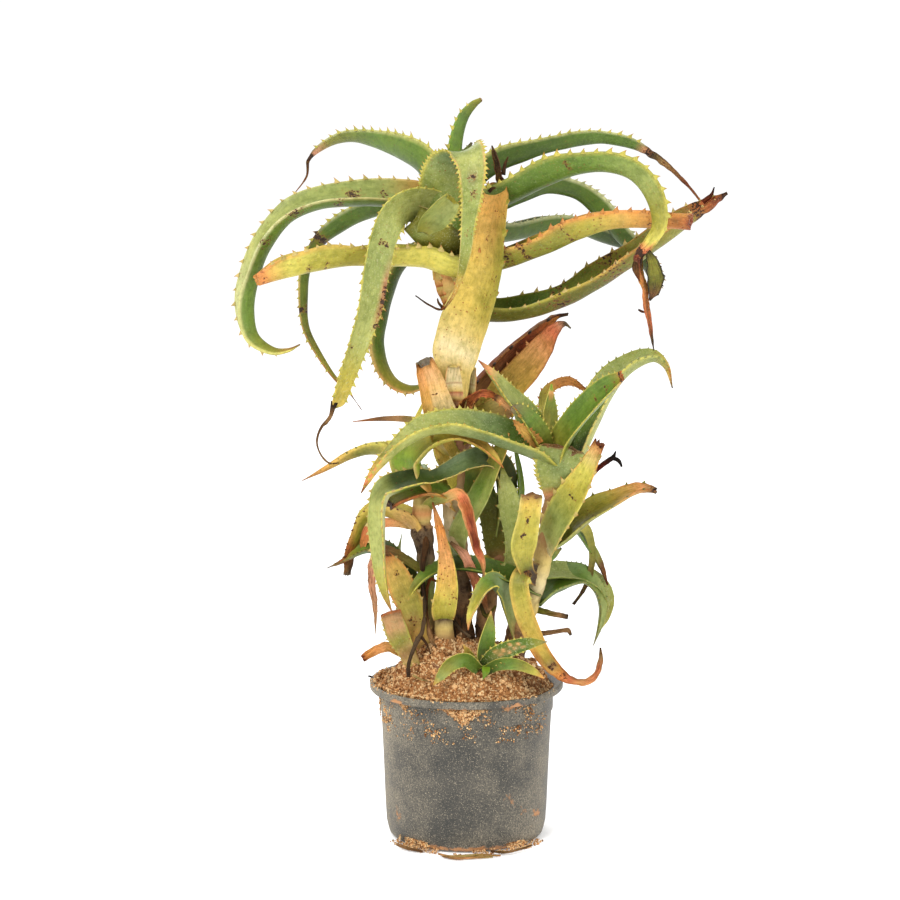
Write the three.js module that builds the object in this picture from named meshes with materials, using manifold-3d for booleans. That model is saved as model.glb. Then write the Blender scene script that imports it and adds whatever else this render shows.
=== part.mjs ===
// A candelabra aloe in its nursery pot, about 75 cm tall: five stems rise from granular soil and carry
// toothed, arching leaves, some fresh, some yellowed and some dried. Units are millimetres, +Z is up,
// and the origin is the middle of the pot's base.
import * as THREE from "three";
import { mergeVertices } from "three/addons/utils/BufferGeometryUtils.js";
import Module from "manifold-3d";

const wasm = await Module();
wasm.setup();

// The pot
const potHeight = 160;
const rimRadius = 98;
const rimThickness = 8;
const collarRadius = 88;
const collarBottom = 130;
const bodyTopRadius = 86.5;
const bodyBottomRadius = 81;
const footHeight = 15;
const footRadius = 74;
const wallThickness = 2;
const drainHoleRadius = 6;
const drainHoleRing = 50;
const drainHoleCount = 6;
const potSides = 36;

// The soil
const soilEdgeHeight = 154;
const soilCrownHeight = 44;
const soilDomePower = 2.5;
const soilRoughness = 1.6;
const soilSides = 28;

// Touching pieces keep this gap
const gap = 0.35;

// Leaf and stem paths are rows of [across, up, back, half width], read on the upright plane through the
// pot's axis by a viewer in front of the plant and then pushed back along the line of sight.
const viewer = new THREE.Vector3(-16.5, -3000, 895);
const towardsViewer = new THREE.Vector3(0, -1, 0);

// A leaf's section is a crescent: its channel and its thickness are shares of its half width
const channelShare = 0.24;
const thicknessShare = 0.3;
const leastThickness = 1.2;
const stepsPerRow = 1.4;
const stemSides = 10;

const colours = {
  charcoal: 0x454545,
  soil: 0xc98b55,
  bark: 0x8f6d50,
  cream: 0xd9c8a2,
  green: 0x6d9438,
  greyGreen: 0x8b9d6b,
  darkGreen: 0x4f6f3a,
  olive: 0x9a9a3c,
  yellow: 0xd8b74c,
  orange: 0xd68a48,
  peach: 0xdba27c,
  rust: 0x8b4b29,
  dryBrown: 0x6b4a35,
};

// Each stem: [across, up, back, radius] from below the soil to the top of its crown
const stems = {
  main_stem: {
    colour: colours.cream,
    path: [[-2, 148, 8, 12], [-3, 190, 8, 12], [-5, 242, 7, 11], [-9, 293, 6, 11], [-12, 339, 4, 12],
      [-10, 396, 2, 12], [-9, 447, 0, 12], [-14, 497, 0, 12], [-19, 547, 0, 11.5], [-19, 582, 0, 11],
      [-14, 617, 0, 9], [-10, 642, 0, 6]],
  },
  left_stem: {
    colour: colours.olive,
    path: [[-36, 148, -12, 9], [-38, 190, -12, 9], [-40, 231, -12, 9], [-41, 273, -13, 8.5],
      [-42, 303, -14, 8.5], [-45, 329, -15, 10], [-43, 350, -16, 9], [-42, 363, -16, 6]],
  },
  right_stem: {
    colour: colours.bark,
    path: [[46, 148, 4, 12], [49, 190, 4, 12], [54, 216, 4, 11], [65, 242, 2, 9.5], [73, 268, 1, 9],
      [79, 296, 0, 9], [84, 324, 0, 9.5], [88, 350, 0, 9], [87, 376, 0, 8], [84, 398, 0, 5]],
  },
  middle_stem: {
    colour: colours.bark,
    path: [[22, 148, 14, 10], [20, 190, 14, 10], [20, 226, 14, 10], [23, 257, 15, 9], [29, 283, 17, 8.5],
      [33, 309, 20, 7], [35, 324, 21, 4]],
  },
  front_stem: {
    colour: colours.cream,
    path: [[-19, 148, -26, 8], [-19, 185, -27, 8], [-20, 206, -28, 8], [-20, 230, -29, 6]],
  },
  dried_stalk: {
    colour: colours.dryBrown,
    path: [[-42, 291, -22, 2.5], [-41, 278, -24, 3], [-38, 252, -27, 2.6], [-42, 227, -32, 2.8],
      [-43, 206, -38, 3], [-51, 185, -50, 2.6], [-58, 161, -66, 2]],
  },
};

// Each leaf: [across, up, back, half width] from its base to its tip. turn is how far its upper face is
// turned from the viewer, in degrees, at its base and at its tip; span is a fixed direction across the
// blade instead, for a leaf that comes forward or goes back. An earlier leaf stays whole where two meet.
const crownLeaves = {
  crown_heart_leaf: {
    colour: colours.green,
    turn: [50, 50],
    path: [[-10, 635, 0, 10], [-11, 672, 0, 11], [-10, 705, 3, 10], [-3, 728, 8, 7.5], [7, 741, 12, 4.5],
      [14, 746, 14, 2.5]],
  },
  crown_leaf_folded: {
    colour: colours.greyGreen,
    span: [-1, 0, -0.25],
    path: [[-14, 611, -8, 17], [-22, 639, -22, 19], [-25, 667, -34, 20], [-15, 687, -45, 20],
      [-1, 694, -58, 18], [5, 681, -70, 14], [5, 657, -75, 10.5], [2, 627, -76, 7.5], [-1, 597, -75, 5.5],
      [-6, 572, -72, 3.5], [-14, 551, -69, 1.8], [-23, 538, -67, 1]],
  },
  crown_leaf_curled: {
    colour: colours.greyGreen,
    turn: [0, 0],
    path: [[-10, 593, -6, 13], [-19, 604, -22, 16], [-29, 616, -38, 16], [-36, 630, -50, 14],
      [-33, 642, -60, 11], [-24, 647, -68, 8], [-16, 642, -73, 4]],
  },
  crown_leaf_front_left: {
    colour: colours.greyGreen,
    turn: [-20, -45],
    path: [[-14, 625, -6, 17], [-30, 641, -20, 19], [-53, 644, -40, 19], [-72, 634, -58, 17],
      [-83, 610, -71, 15.5], [-89, 581, -78, 15], [-96, 547, -83, 14.5], [-108, 507, -87, 13],
      [-120, 472, -89, 11], [-129, 445, -90, 8.5], [-133, 439, -90, 2.5]],
  },
  crown_leaf_left_sweeping: {
    colour: colours.green,
    turn: [50, -25],
    path: [[-16, 619, -2, 16], [-34, 644, -8, 17], [-66, 652, -18, 16], [-106, 653, -30, 14],
      [-146, 649, -40, 12], [-178, 635, -46, 10.5], [-202, 606, -51, 10], [-216, 572, -55, 9.5],
      [-221, 537, -58, 9], [-214, 509, -60, 7], [-194, 496, -62, 4.5], [-178, 497, -63, 2.5],
      [-166, 503, -64, 0.6]],
  },
  crown_leaf_right_arching: {
    colour: colours.olive,
    turn: [50, -20],
    path: [[-6, 627, -4, 16], [16, 645, -12, 18], [42, 656, -22, 18], [72, 671, -36, 16.5],
      [106, 683, -52, 14], [139, 685, -66, 11.5], [166, 675, -78, 9.5], [182, 657, -86, 8.5],
      [190, 637, -91, 7.5], [190, 619, -94, 6.5], [181, 604, -95, 5.5], [171, 591, -95, 4],
      [172, 577, -94, 3.5], [177, 560, -93, 3], [179, 542, -92, 2.8], [184, 516, -90, 2],
      [187, 497, -89, 0.5]],
  },
  crown_leaf_left_high: {
    colour: colours.green,
    turn: [40, 55],
    path: [[-13, 627, 4, 15], [-25, 661, 16, 17], [-41, 684, 34, 16], [-66, 698, 62, 14],
      [-96, 708, 90, 10.5], [-121, 709, 108, 7.5], [-142, 700, 122, 4.5], [-156, 687, 128, 2],
      [-158, 671, 130, 1.3], [-170, 654, 132, 0.5]],
  },
  crown_leaf_right_high: {
    colour: colours.green,
    turn: [50, 50],
    path: [[-8, 637, 6, 14], [6, 664, 18, 16], [24, 680, 30, 15.5], [54, 693, 46, 14], [89, 703, 62, 12],
      [129, 708, 78, 9.5], [160, 703, 88, 7.5], [180, 694, 94, 5], [202, 678, 99, 3.2],
      [221, 659, 103, 2], [235, 641, 106, 0.8]],
  },
  crown_leaf_back_upper: {
    colour: colours.green,
    span: [1, 0, 0],
    path: [[-9, 622, 10, 15], [-7, 647, 34, 16], [-3, 662, 66, 14], [2, 661, 104, 11], [5, 645, 138, 8],
      [6, 621, 160, 5], [6, 597, 172, 1]],
  },
  crown_leaf_right_back: {
    colour: colours.darkGreen,
    turn: [45, 45],
    path: [[-8, 619, 10, 14], [16, 637, 28, 16], [46, 651, 48, 15], [79, 661, 68, 13],
      [109, 656, 84, 12.5], [133, 636, 95, 12.5], [156, 610, 102, 11], [176, 589, 105, 10.5],
      [187, 570, 106, 10], [184, 554, 106, 3]],
  },
  crown_leaf_left_back: {
    colour: colours.green,
    turn: [50, 50],
    path: [[-16, 611, 6, 15], [-36, 635, 22, 16], [-66, 644, 36, 15], [-96, 637, 46, 14],
      [-121, 625, 52, 12.5], [-144, 608, 57, 10.5], [-158, 583, 60, 8], [-162, 552, 61, 6.5],
      [-160, 522, 61, 5], [-148, 495, 60, 3.8], [-131, 469, 59, 2.3], [-117, 454, 58, 0.9],
      [-105, 437, 57, 0.4]],
  },
  crown_leaf_right_hidden: {
    colour: colours.darkGreen,
    turn: [40, 40],
    path: [[-10, 601, 12, 12], [16, 611, 36, 13], [46, 615, 60, 12], [79, 621, 84, 11],
      [109, 621, 102, 10], [134, 612, 114, 9], [160, 602, 124, 6], [176, 592, 128, 1]],
  },
  crown_leaf_right_yellow: {
    colour: colours.olive,
    turn: [35, 35],
    path: [[-16, 579, 0, 12], [12, 583, -10, 13], [46, 592, -22, 13], [79, 604, -38, 12.5],
      [109, 617, -50, 12], [139, 626, -60, 11], [174, 628, -69, 10.5], [222, 625, -80, 9.5]],
  },
  crown_leaf_left_level: {
    colour: colours.olive,
    turn: [35, 35],
    path: [[-19, 581, -3, 12], [-41, 590, -18, 13], [-76, 591, -36, 12.5], [-116, 591, -54, 12],
      [-151, 586, -68, 12.5], [-181, 579, -80, 11.5], [-208, 567, -90, 6]],
  },
  crown_leaf_left_low: {
    colour: colours.darkGreen,
    turn: [45, 45],
    path: [[-17, 591, 8, 11], [-36, 597, 24, 11], [-55, 594, 36, 10], [-69, 579, 44, 9.5],
      [-79, 552, 50, 9], [-85, 527, 53, 9], [-88, 502, 54, 9], [-83, 479, 55, 8.5], [-72, 464, 55, 7],
      [-58, 458, 54, 5.5], [-44, 461, 53, 3], [-34, 467, 52, 0.8]],
  },
  crown_leaf_right_low: {
    colour: colours.olive,
    turn: [-25, -25],
    path: [[-17, 545, 4, 10], [6, 540, 6, 12], [34, 538, 4, 11.5], [69, 544, 0, 11.5],
      [99, 555, -5, 11.5], [129, 572, -10, 11.5], [159, 591, -15, 11], [189, 611, -20, 10],
      [219, 633, -25, 9], [242, 645, -28, 6], [258, 654, -30, 1.2]],
  },
  crown_old_leaf: {
    colour: colours.yellow,
    turn: [35, 35],
    path: [[-10, 435, -4, 16], [-9, 462, -13, 22], [-5, 497, -21, 24], [4, 535, -28, 24],
      [14, 571, -33, 21], [23, 605, -36, 19], [30, 637, -37, 16], [37, 663, -37, 8], [34, 675, -37, 5],
      [29, 689, -37, 3.5], [25, 700, -37, 1]],
  },
};

const collarLeaves = {
  collar_leaf_cut_left: {
    colour: colours.orange,
    turn: [30, 30],
    path: [[-10, 398, -6, 14], [-23, 414, -18, 20], [-32, 440, -26, 18], [-38, 464, -30, 15],
      [-45, 487, -33, 10.5]],
  },
  collar_leaf_orange: {
    colour: colours.peach,
    turn: [35, 35],
    path: [[-7, 427, 0, 13], [18, 441, 2, 18], [42, 458, 4, 19], [62, 479, 6, 18], [78, 500, 8, 14],
      [90, 519, 10, 7], [98, 523, 11, 2.5], [104, 519, 11, 1]],
  },
  collar_leaf_brown: {
    colour: colours.rust,
    turn: [-50, -45],
    path: [[-9, 445, 6, 12], [12, 465, 16, 16], [36, 490, 26, 15], [56, 508, 34, 12.5], [76, 524, 42, 9],
      [90, 532, 47, 4], [101, 534, 51, 2]],
  },
};

const rightLeaves = {
  right_heart_leaf: {
    colour: colours.green,
    turn: [-30, -30],
    path: [[84, 391, 0, 8], [83, 414, -4, 9.5], [83, 435, -6, 8.5], [84, 450, -6, 4.5],
      [85, 463, -5, 1]],
  },
  right_leaf_cup: {
    colour: colours.greyGreen,
    turn: [0, 0],
    path: [[89, 347, -4, 10], [90, 363, -16, 16], [92, 380, -24, 23], [96, 399, -28, 23]],
  },
  right_leaf_upper_left: {
    colour: colours.greyGreen,
    turn: [-45, -45],
    path: [[83, 396, -4, 11], [74, 416, -14, 14.5], [59, 439, -26, 13.5], [42, 457, -37, 9.5],
      [26, 474, -46, 5], [12, 487, -52, 0.7]],
  },
  right_leaf_arching: {
    colour: colours.greyGreen,
    turn: [15, -35],
    path: [[86, 388, -6, 12], [69, 400, -20, 14], [44, 410, -34, 13.5], [14, 420, -48, 13],
      [-16, 425, -60, 12], [-46, 419, -70, 10], [-71, 401, -77, 7.5], [-90, 380, -81, 5],
      [-99, 365, -83, 3], [-106, 352, -84, 0.6]],
  },
  right_leaf_blunt: {
    colour: colours.green,
    turn: [40, 40],
    path: [[87, 383, -8, 11], [96, 408, -20, 13], [112, 431, -32, 12.5], [129, 449, -42, 11],
      [144, 462, -50, 9], [156, 471, -55, 5]],
  },
  right_leaf_outer: {
    colour: colours.greyGreen,
    turn: [-40, 30],
    path: [[90, 370, 3, 12], [104, 394, 10, 14], [119, 426, 18, 12.5], [134, 454, 26, 11],
      [151, 476, 34, 9.5], [174, 490, 42, 7.5], [189, 491, 47, 5.5], [200, 481, 51, 3.3],
      [206, 459, 54, 0.6]],
  },
  right_leaf_yellow_down: {
    colour: colours.yellow,
    turn: [-20, -20],
    path: [[75, 272, -3, 6], [62, 275, -20, 9], [54, 263, -30, 11.5], [56, 242, -35, 11.5],
      [64, 216, -39, 11], [76, 190, -43, 10.5], [90, 172, -46, 9], [105, 161, -47, 5],
      [120, 158, -46, 4], [131, 165, -44, 3.8], [136, 180, -42, 3.4], [136, 193, -40, 1.2]],
  },
  right_leaf_yellow_up: {
    colour: colours.yellow,
    turn: [20, 20],
    path: [[74, 261, -3, 6], [63, 269, -18, 7], [58, 283, -30, 10], [57, 300, -37, 14],
      [61, 324, -41, 12.5], [65, 351, -43, 11]],
  },
  right_leaf_broad: {
    colour: colours.yellow,
    turn: [45, 45],
    path: [[80, 294, -5, 12], [88, 315, -17, 18], [100, 337, -26, 18], [114, 360, -33, 15],
      [126, 384, -38, 10.5], [135, 403, -41, 7.5]],
  },
  right_leaf_olive: {
    colour: colours.olive,
    turn: [50, 50],
    path: [[81, 296, 1, 11], [100, 311, 7, 13], [124, 332, 13, 13], [149, 346, 18, 10],
      [174, 357, 22, 7], [191, 355, 24, 4]],
  },
  low_leaf_right_wide: {
    colour: colours.darkGreen,
    turn: [30, 0],
    path: [[69, 240, 6, 8], [84, 259, 18, 13], [102, 268, 32, 11], [119, 269, 45, 9],
      [132, 257, 54, 7.5], [138, 237, 60, 6], [137, 217, 64, 4], [129, 195, 67, 0.6]],
  },
  low_leaf_right_narrow: {
    colour: colours.greyGreen,
    turn: [0, 0],
    path: [[75, 271, 8, 6], [96, 273, 30, 7.5], [120, 270, 52, 7], [137, 259, 66, 6], [145, 241, 73, 5],
      [142, 224, 76, 3.5], [135, 210, 78, 0.6]],
  },
  low_leaf_right_thin: {
    colour: colours.olive,
    turn: [0, 0],
    path: [[82, 311, 4, 5], [97, 324, 22, 6], [112, 319, 40, 6], [126, 297, 54, 4.2], [136, 278, 63, 3],
      [143, 258, 69, 0.8]],
  },
};

const middleLeaves = {
  middle_leaf_slanting: {
    colour: colours.yellow,
    turn: [30, 30],
    path: [[-8, 287, 4, 8], [-7, 311, -10, 11], [4, 332, -18, 11.5], [16, 355, -23, 11.5],
      [27, 380, -26, 9], [36, 401, -27, 7], [41, 414, -26, 3]],
  },
  middle_leaf_pale: {
    colour: colours.greyGreen,
    turn: [-10, -10],
    path: [[34, 263, 12, 7], [47, 277, -2, 11], [50, 306, -9, 12], [45, 333, -12, 12], [40, 356, -13, 9],
      [36, 378, -13, 2]],
  },
  middle_leaf_olive: {
    colour: colours.olive,
    turn: [20, 20],
    path: [[31, 271, 16, 8], [30, 298, 8, 13], [25, 327, 4, 12.5], [18, 353, 3, 11], [12, 376, 5, 8.5],
      [5, 394, 8, 3]],
  },
  middle_leaf_drooping: {
    colour: colours.green,
    turn: [-40, -40],
    path: [[55, 201, 2, 7], [47, 233, -14, 9.5], [39, 254, -26, 9.5], [27, 264, -36, 9],
      [16, 256, -43, 7.5], [8, 239, -48, 5.5], [3, 224, -50, 3], [2, 211, -51, 0.5]],
  },
  middle_leaf_crossing: {
    colour: colours.darkGreen,
    turn: [-30, -30],
    path: [[74, 254, 0, 7], [48, 268, -12, 9], [24, 276, -16, 8], [-4, 281, -18, 7.5],
      [-26, 278, -20, 6.5], [-44, 267, -34, 5], [-54, 254, -40, 3.5], [-59, 242, -42, 0.5]],
  },
};

const leftLeaves = {
  left_leaf_looping: {
    colour: colours.green,
    turn: [20, -20],
    path: [[-43, 350, -20, 12], [-57, 369, -27, 16], [-61, 389, -30, 15], [-48, 404, -31, 13],
      [-28, 412, -32, 9], [-6, 413, -34, 6], [14, 403, -38, 5], [28, 390, -43, 3], [37, 378, -47, 0.5]],
  },
  left_leaf_hanging: {
    colour: colours.darkGreen,
    turn: [20, -45],
    path: [[34, 312, 16, 8], [40, 345, 6, 10], [38, 375, -4, 11], [24, 391, -16, 11], [2, 389, -32, 11],
      [-21, 381, -44, 11], [-46, 376, -54, 11.5], [-69, 371, -62, 11], [-85, 361, -67, 10.5],
      [-91, 338, -70, 10], [-91, 309, -71, 9.5], [-89, 278, -70, 8], [-83, 250, -68, 5],
      [-75, 229, -66, 0.8]],
  },
  left_leaf_ridged: {
    colour: colours.olive,
    turn: [-20, -20],
    path: [[-10, 347, 2, 9], [-19, 358, -18, 11], [-36, 361, -30, 9.5], [-56, 357, -38, 9.5],
      [-70, 351, -43, 9.5], [-80, 342, -46, 7.5]],
  },
  left_leaf_long: {
    colour: colours.green,
    turn: [30, 30],
    path: [[-42, 357, -10, 9], [-58, 381, -2, 9], [-76, 395, 4, 8], [-96, 397, 10, 6.5],
      [-116, 391, 15, 5], [-138, 379, 19, 3], [-165, 365, 23, 0.5]],
  },
  left_leaf_orange_tip: {
    colour: colours.peach,
    turn: [-20, -20],
    path: [[-43, 334, -16, 7], [-35, 344, -28, 7], [-21, 348, -38, 6.5], [-8, 352, -46, 6.5],
      [0, 341, -51, 7], [6, 319, -53, 6], [12, 295, -54, 5], [17, 280, -54, 3], [18, 266, -53, 0.8]],
  },
  left_leaf_low: {
    colour: colours.orange,
    turn: [40, 40],
    path: [[-45, 311, -14, 8], [-56, 325, -6, 10], [-71, 332, 2, 9], [-88, 335, 10, 8.5],
      [-101, 327, 15, 8], [-109, 309, 18, 8], [-116, 291, 20, 7], [-120, 269, 21, 4.5]],
  },
  left_leaf_dark: {
    colour: colours.darkGreen,
    turn: [-20, 20],
    path: [[-42, 230, -12, 6], [-57, 262, -10, 8.5], [-70, 281, -6, 8], [-82, 293, -2, 7],
      [-98, 297, 4, 5.5], [-114, 291, 9, 4], [-126, 282, 12, 2], [-141, 275, 15, 0.4]],
  },
};

const frontLeaves = {
  front_leaf_tall: {
    colour: colours.yellow,
    turn: [0, 0],
    path: [[-19, 201, -28, 7.5], [-20, 230, -34, 12], [-19, 256, -37, 12.5], [-20, 283, -38, 10.5],
      [-25, 309, -39, 7.5], [-30, 329, -39, 4.5], [-34, 343, -39, 1]],
  },
  sucker_leaf_cut: {
    colour: colours.olive,
    turn: [0, 0],
    path: [[-54, 178, -36, 8], [-64, 195, -43, 13], [-73, 211, -47, 12.5], [-78, 230, -49, 10.5]],
  },
  sucker_leaf_speckled: {
    colour: colours.yellow,
    turn: [10, 10],
    path: [[-41, 188, -20, 8], [-48, 211, -24, 11], [-56, 234, -27, 13], [-66, 257, -29, 14],
      [-75, 278, -30, 10], [-81, 290, -30, 4]],
  },
  pup_leaf_upright: {
    colour: colours.green,
    turn: [-30, -30],
    path: [[15, 171, -50, 6], [18, 192, -54, 9.5], [22, 212, -55, 7], [25, 231, -53, 0.6]],
  },
  pup_leaf_right: {
    colour: colours.greyGreen,
    turn: [20, 20],
    path: [[16, 171, -54, 6], [29, 184, -64, 8.5], [46, 192, -70, 8.5], [64, 197, -73, 6],
      [82, 199, -75, 0.6]],
  },
  pup_leaf_left: {
    colour: colours.green,
    turn: [-10, -10],
    path: [[13, 170, -58, 6], [-1, 181, -68, 8.5], [-16, 176, -76, 7.5], [-26, 164, -80, 5],
      [-34, 153, -81, 0.6]],
  },
  pup_leaf_right_low: {
    colour: colours.green,
    turn: [-10, -10],
    path: [[17, 168, -58, 5], [34, 176, -70, 6.5], [52, 176, -76, 6], [68, 169, -79, 4],
      [79, 161, -80, 0.6]],
  },
};

function solidOf(geometry) {
  const bare = geometry.clone();
  bare.deleteAttribute("normal");
  bare.deleteAttribute("uv");
  const merged = mergeVertices(bare, 1e-4);
  const mesh = new wasm.Mesh({
    numProp: 3,
    vertProperties: merged.attributes.position.array,
    triVerts: new Uint32Array(merged.index.array),
  });
  return new wasm.Manifold(mesh);
}

function geometryOf(solid) {
  const mesh = solid.getMesh();
  const geometry = new THREE.BufferGeometry();
  geometry.setAttribute("position", new THREE.BufferAttribute(new Float32Array(mesh.vertProperties), 3));
  geometry.setIndex(new THREE.BufferAttribute(new Uint32Array(mesh.triVerts), 1));
  geometry.computeVertexNormals();
  return geometry;
}

function largestBody(solid) {
  return solid.decompose().reduce((best, body) => (body.volume() > best.volume() ? body : best));
}

// Joins rings of points, all of one count and all turning the same way, into a closed geometry.
function loft(rings) {
  const sides = rings[0].length;
  const ends = [rings[0], rings[rings.length - 1]];
  const centres = ends.map((ring) => {
    const centre = new THREE.Vector3();
    ring.forEach((point) => centre.add(point));
    return centre.divideScalar(sides);
  });
  const points = [...rings.flat(), ...centres];
  const firstCentre = points.length - 2;
  const lastCentre = points.length - 1;
  const lastRing = (rings.length - 1) * sides;
  const faces = [];
  for (let side = 0; side < sides; side++) {
    const next = (side + 1) % sides;
    faces.push(firstCentre, next, side);
    faces.push(lastCentre, lastRing + side, lastRing + next);
    for (let ring = 0; ring < rings.length - 1; ring++) {
      const low = ring * sides;
      const high = low + sides;
      faces.push(low + side, low + next, high + next);
      faces.push(low + side, high + next, high + side);
    }
  }
  const geometry = new THREE.BufferGeometry().setFromPoints(points);
  geometry.setIndex(faces);
  return geometry;
}

// Pushes a point of the upright plane back along the viewer's line of sight.
function placed([across, up, back]) {
  const onPlane = new THREE.Vector3(across, 0, up);
  const share = 1 + back / -viewer.y;
  return onPlane.sub(viewer).multiplyScalar(share).add(viewer);
}

// Points, directions and half widths along a path, base to tip.
function stationsAlong(path, steps) {
  const curve = new THREE.CatmullRomCurve3(path.map(placed), false, "centripetal");
  const widths = new THREE.SplineCurve(path.map((row, index) => new THREE.Vector2(index, row[3])));
  return Array.from({ length: steps + 1 }, (_, step) => {
    const share = step / steps;
    return {
      share,
      centre: curve.getPoint(share),
      along: curve.getTangent(share),
      half: Math.max(0.4, widths.getPoint(share).y),
    };
  });
}

function stemSolid(path, grown = 0) {
  const stations = stationsAlong(path, Math.round(path.length * 1.3));
  const rings = stations.map(({ centre, along, half }) => {
    const right = new THREE.Vector3(1, 0, 0).addScaledVector(along, -along.x).normalize();
    const rear = new THREE.Vector3().crossVectors(along, right);
    return Array.from({ length: stemSides }, (_, side) => {
      const angle = (side / stemSides) * 2 * Math.PI;
      return centre
        .clone()
        .addScaledVector(right, (half + grown) * Math.cos(angle))
        .addScaledVector(rear, (half + grown) * Math.sin(angle));
    });
  });
  return solidOf(loft(rings));
}

// The direction across the blade and its upper face's direction at one station.
function bladeFrame({ share, along }, leaf) {
  if (leaf.span) {
    const across = new THREE.Vector3(...leaf.span);
    across.addScaledVector(along, -across.dot(along)).normalize();
    return { across, face: new THREE.Vector3().crossVectors(across, along) };
  }
  const first = leaf.path[0];
  const last = leaf.path[leaf.path.length - 1];
  const side = last[0] < first[0] ? -1 : 1;
  const inView = new THREE.Vector3().crossVectors(towardsViewer, along).normalize();
  const facing = new THREE.Vector3().crossVectors(along, inView);
  const turn = THREE.MathUtils.degToRad(THREE.MathUtils.lerp(leaf.turn[0], leaf.turn[1], share));
  const face = facing.multiplyScalar(Math.cos(turn)).addScaledVector(inView, side * Math.sin(turn));
  return { across: new THREE.Vector3().crossVectors(along, face), face };
}

// A crescent blade along its path: the margins stand up and the underside is full.
function leafSolid(leaf, grown = 0) {
  const steps = Math.round(leaf.path.length * stepsPerRow);
  const rings = stationsAlong(leaf.path, steps).map((station) => {
    const { across, face } = bladeFrame(station, leaf);
    const half = station.half + 2 * grown;
    const channel = channelShare * station.half + grown;
    const depth = thicknessShare * station.half + leastThickness;
    const top = depth * 0.25 + 1.5 * grown;
    const bottom = -depth * 0.75 - 1.5 * grown;
    const section = [
      [-half, channel],
      [-0.4 * half, top],
      [0.4 * half, top],
      [half, channel],
      [0.45 * half, bottom],
      [-0.45 * half, bottom],
    ];
    return section.map(([wide, tall]) =>
      station.centre.clone().addScaledVector(across, wide).addScaledVector(face, tall),
    );
  });
  return solidOf(loft(rings));
}

function potSolid() {
  const outside = [
    [0, 0],
    [footRadius, 0],
    [footRadius + 4, 2.5],
    [bodyBottomRadius, footHeight],
    [bodyTopRadius, collarBottom - 5],
    [bodyTopRadius, collarBottom],
    [collarRadius, collarBottom + 1.5],
    [collarRadius, potHeight - rimThickness],
    [rimRadius, potHeight - rimThickness],
    [rimRadius, potHeight - 1],
    [rimRadius - 1, potHeight],
    [rimRadius - 3, potHeight],
  ];
  const inside = [
    [collarRadius - wallThickness, potHeight - rimThickness + 2],
    [collarRadius - wallThickness, collarBottom + 1.5],
    [bodyTopRadius - wallThickness, collarBottom - 5],
    [bodyBottomRadius - wallThickness, footHeight],
    [footRadius, wallThickness + 2],
    [footRadius - 3, wallThickness],
    [0, wallThickness],
  ];
  const profile = [...outside, ...inside].map(([radius, height]) => new THREE.Vector2(radius, height));
  const shell = solidOf(new THREE.LatheGeometry(profile, potSides).rotateX(Math.PI / 2));
  return Array.from({ length: drainHoleCount }).reduce((pot, _, hole) => {
    const angle = (hole / drainHoleCount) * 2 * Math.PI;
    const drill = new THREE.CylinderGeometry(drainHoleRadius, drainHoleRadius, 10, 12);
    drill.rotateX(Math.PI / 2);
    drill.translate(drainHoleRing * Math.cos(angle), drainHoleRing * Math.sin(angle), 0);
    return pot.subtract(solidOf(drill));
  }, shell);
}

function soilHeight(radius, angle) {
  const edge = collarRadius - wallThickness;
  const lumps = Math.sin(3 * angle + radius / 9) + Math.sin(7 * angle - radius / 6);
  return soilEdgeHeight + soilCrownHeight * (1 - (radius / edge) ** soilDomePower) + soilRoughness * lumps;
}

// The soil fills the pot inside its wall and rises to a lumpy dome.
function soilSolid() {
  const sides = soilSides;
  const ringAt = (radius, height) =>
    Array.from({ length: sides }, (_, side) => {
      const angle = (side / sides) * 2 * Math.PI;
      const z = height === undefined ? soilHeight(radius, angle) : height;
      return new THREE.Vector3(radius * Math.cos(angle), radius * Math.sin(angle), z);
    });
  const inner = wallThickness + gap;
  const below = [
    [footRadius - 6, inner],
    [bodyBottomRadius - inner - 0.4, footHeight + 1],
    [bodyTopRadius - inner - 0.6, collarBottom - 6],
    [collarRadius - inner - 0.6, collarBottom + 3],
  ];
  const surface = [collarRadius - inner - 0.6, 76, 62, 46, 30, 14];
  const buried = below.map(([radius, height]) => ringAt(radius, height));
  const open = surface.map((radius) => ringAt(radius));
  return solidOf(loft([...buried, ...open]));
}

function meshOf(name, solid, colour, roughness) {
  const material = new THREE.MeshStandardMaterial({ color: colour, roughness, metalness: 0 });
  const mesh = new THREE.Mesh(geometryOf(solid), material);
  mesh.name = name;
  return mesh;
}

function boxesMeet(a, b) {
  const one = a.boundingBox();
  const other = b.boundingBox();
  return [0, 1, 2].every((axis) => one.min[axis] <= other.max[axis] && other.min[axis] <= one.max[axis]);
}

const aloe = new THREE.Group();
const cutters = [];

// Takes everything placed so far, grown by the gap, out of a new piece and adds what is left.
function addCut(name, solid, grownSolid, colour, roughness) {
  const near = cutters.filter((cutter) => boxesMeet(cutter, solid));
  const left = near.reduce((rest, cutter) => rest.subtract(cutter), solid);
  aloe.add(meshOf(name, largestBody(left), colour, roughness));
  cutters.push(grownSolid);
}

const pot = potSolid();
aloe.add(meshOf("pot", pot, colours.charcoal, 0.7));

for (const [name, { path, colour }] of Object.entries(stems)) {
  addCut(name, stemSolid(path), stemSolid(path, gap), colour, 0.85);
}
addCut("soil", soilSolid(), soilSolid().translate([0, 0, gap]), colours.soil, 1);

for (const group of [crownLeaves, collarLeaves, rightLeaves, middleLeaves, leftLeaves, frontLeaves]) {
  for (const [name, leaf] of Object.entries(group)) {
    addCut(name, leafSolid(leaf), leafSolid(leaf, gap), leaf.colour, 0.55);
  }
}

export default aloe;
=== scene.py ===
# Looks for a candelabra aloe in its nursery pot. Leaf and stem rows are in millimetres, as in the CAD part:
# [across, up, back, half width], read on the upright plane through the pot's axis by a viewer in front of
# the plant and then pushed back along the line of sight. Blender objects are in metres.
import math

import bmesh
import bpy
import numpy as np
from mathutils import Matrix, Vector, noise


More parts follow.
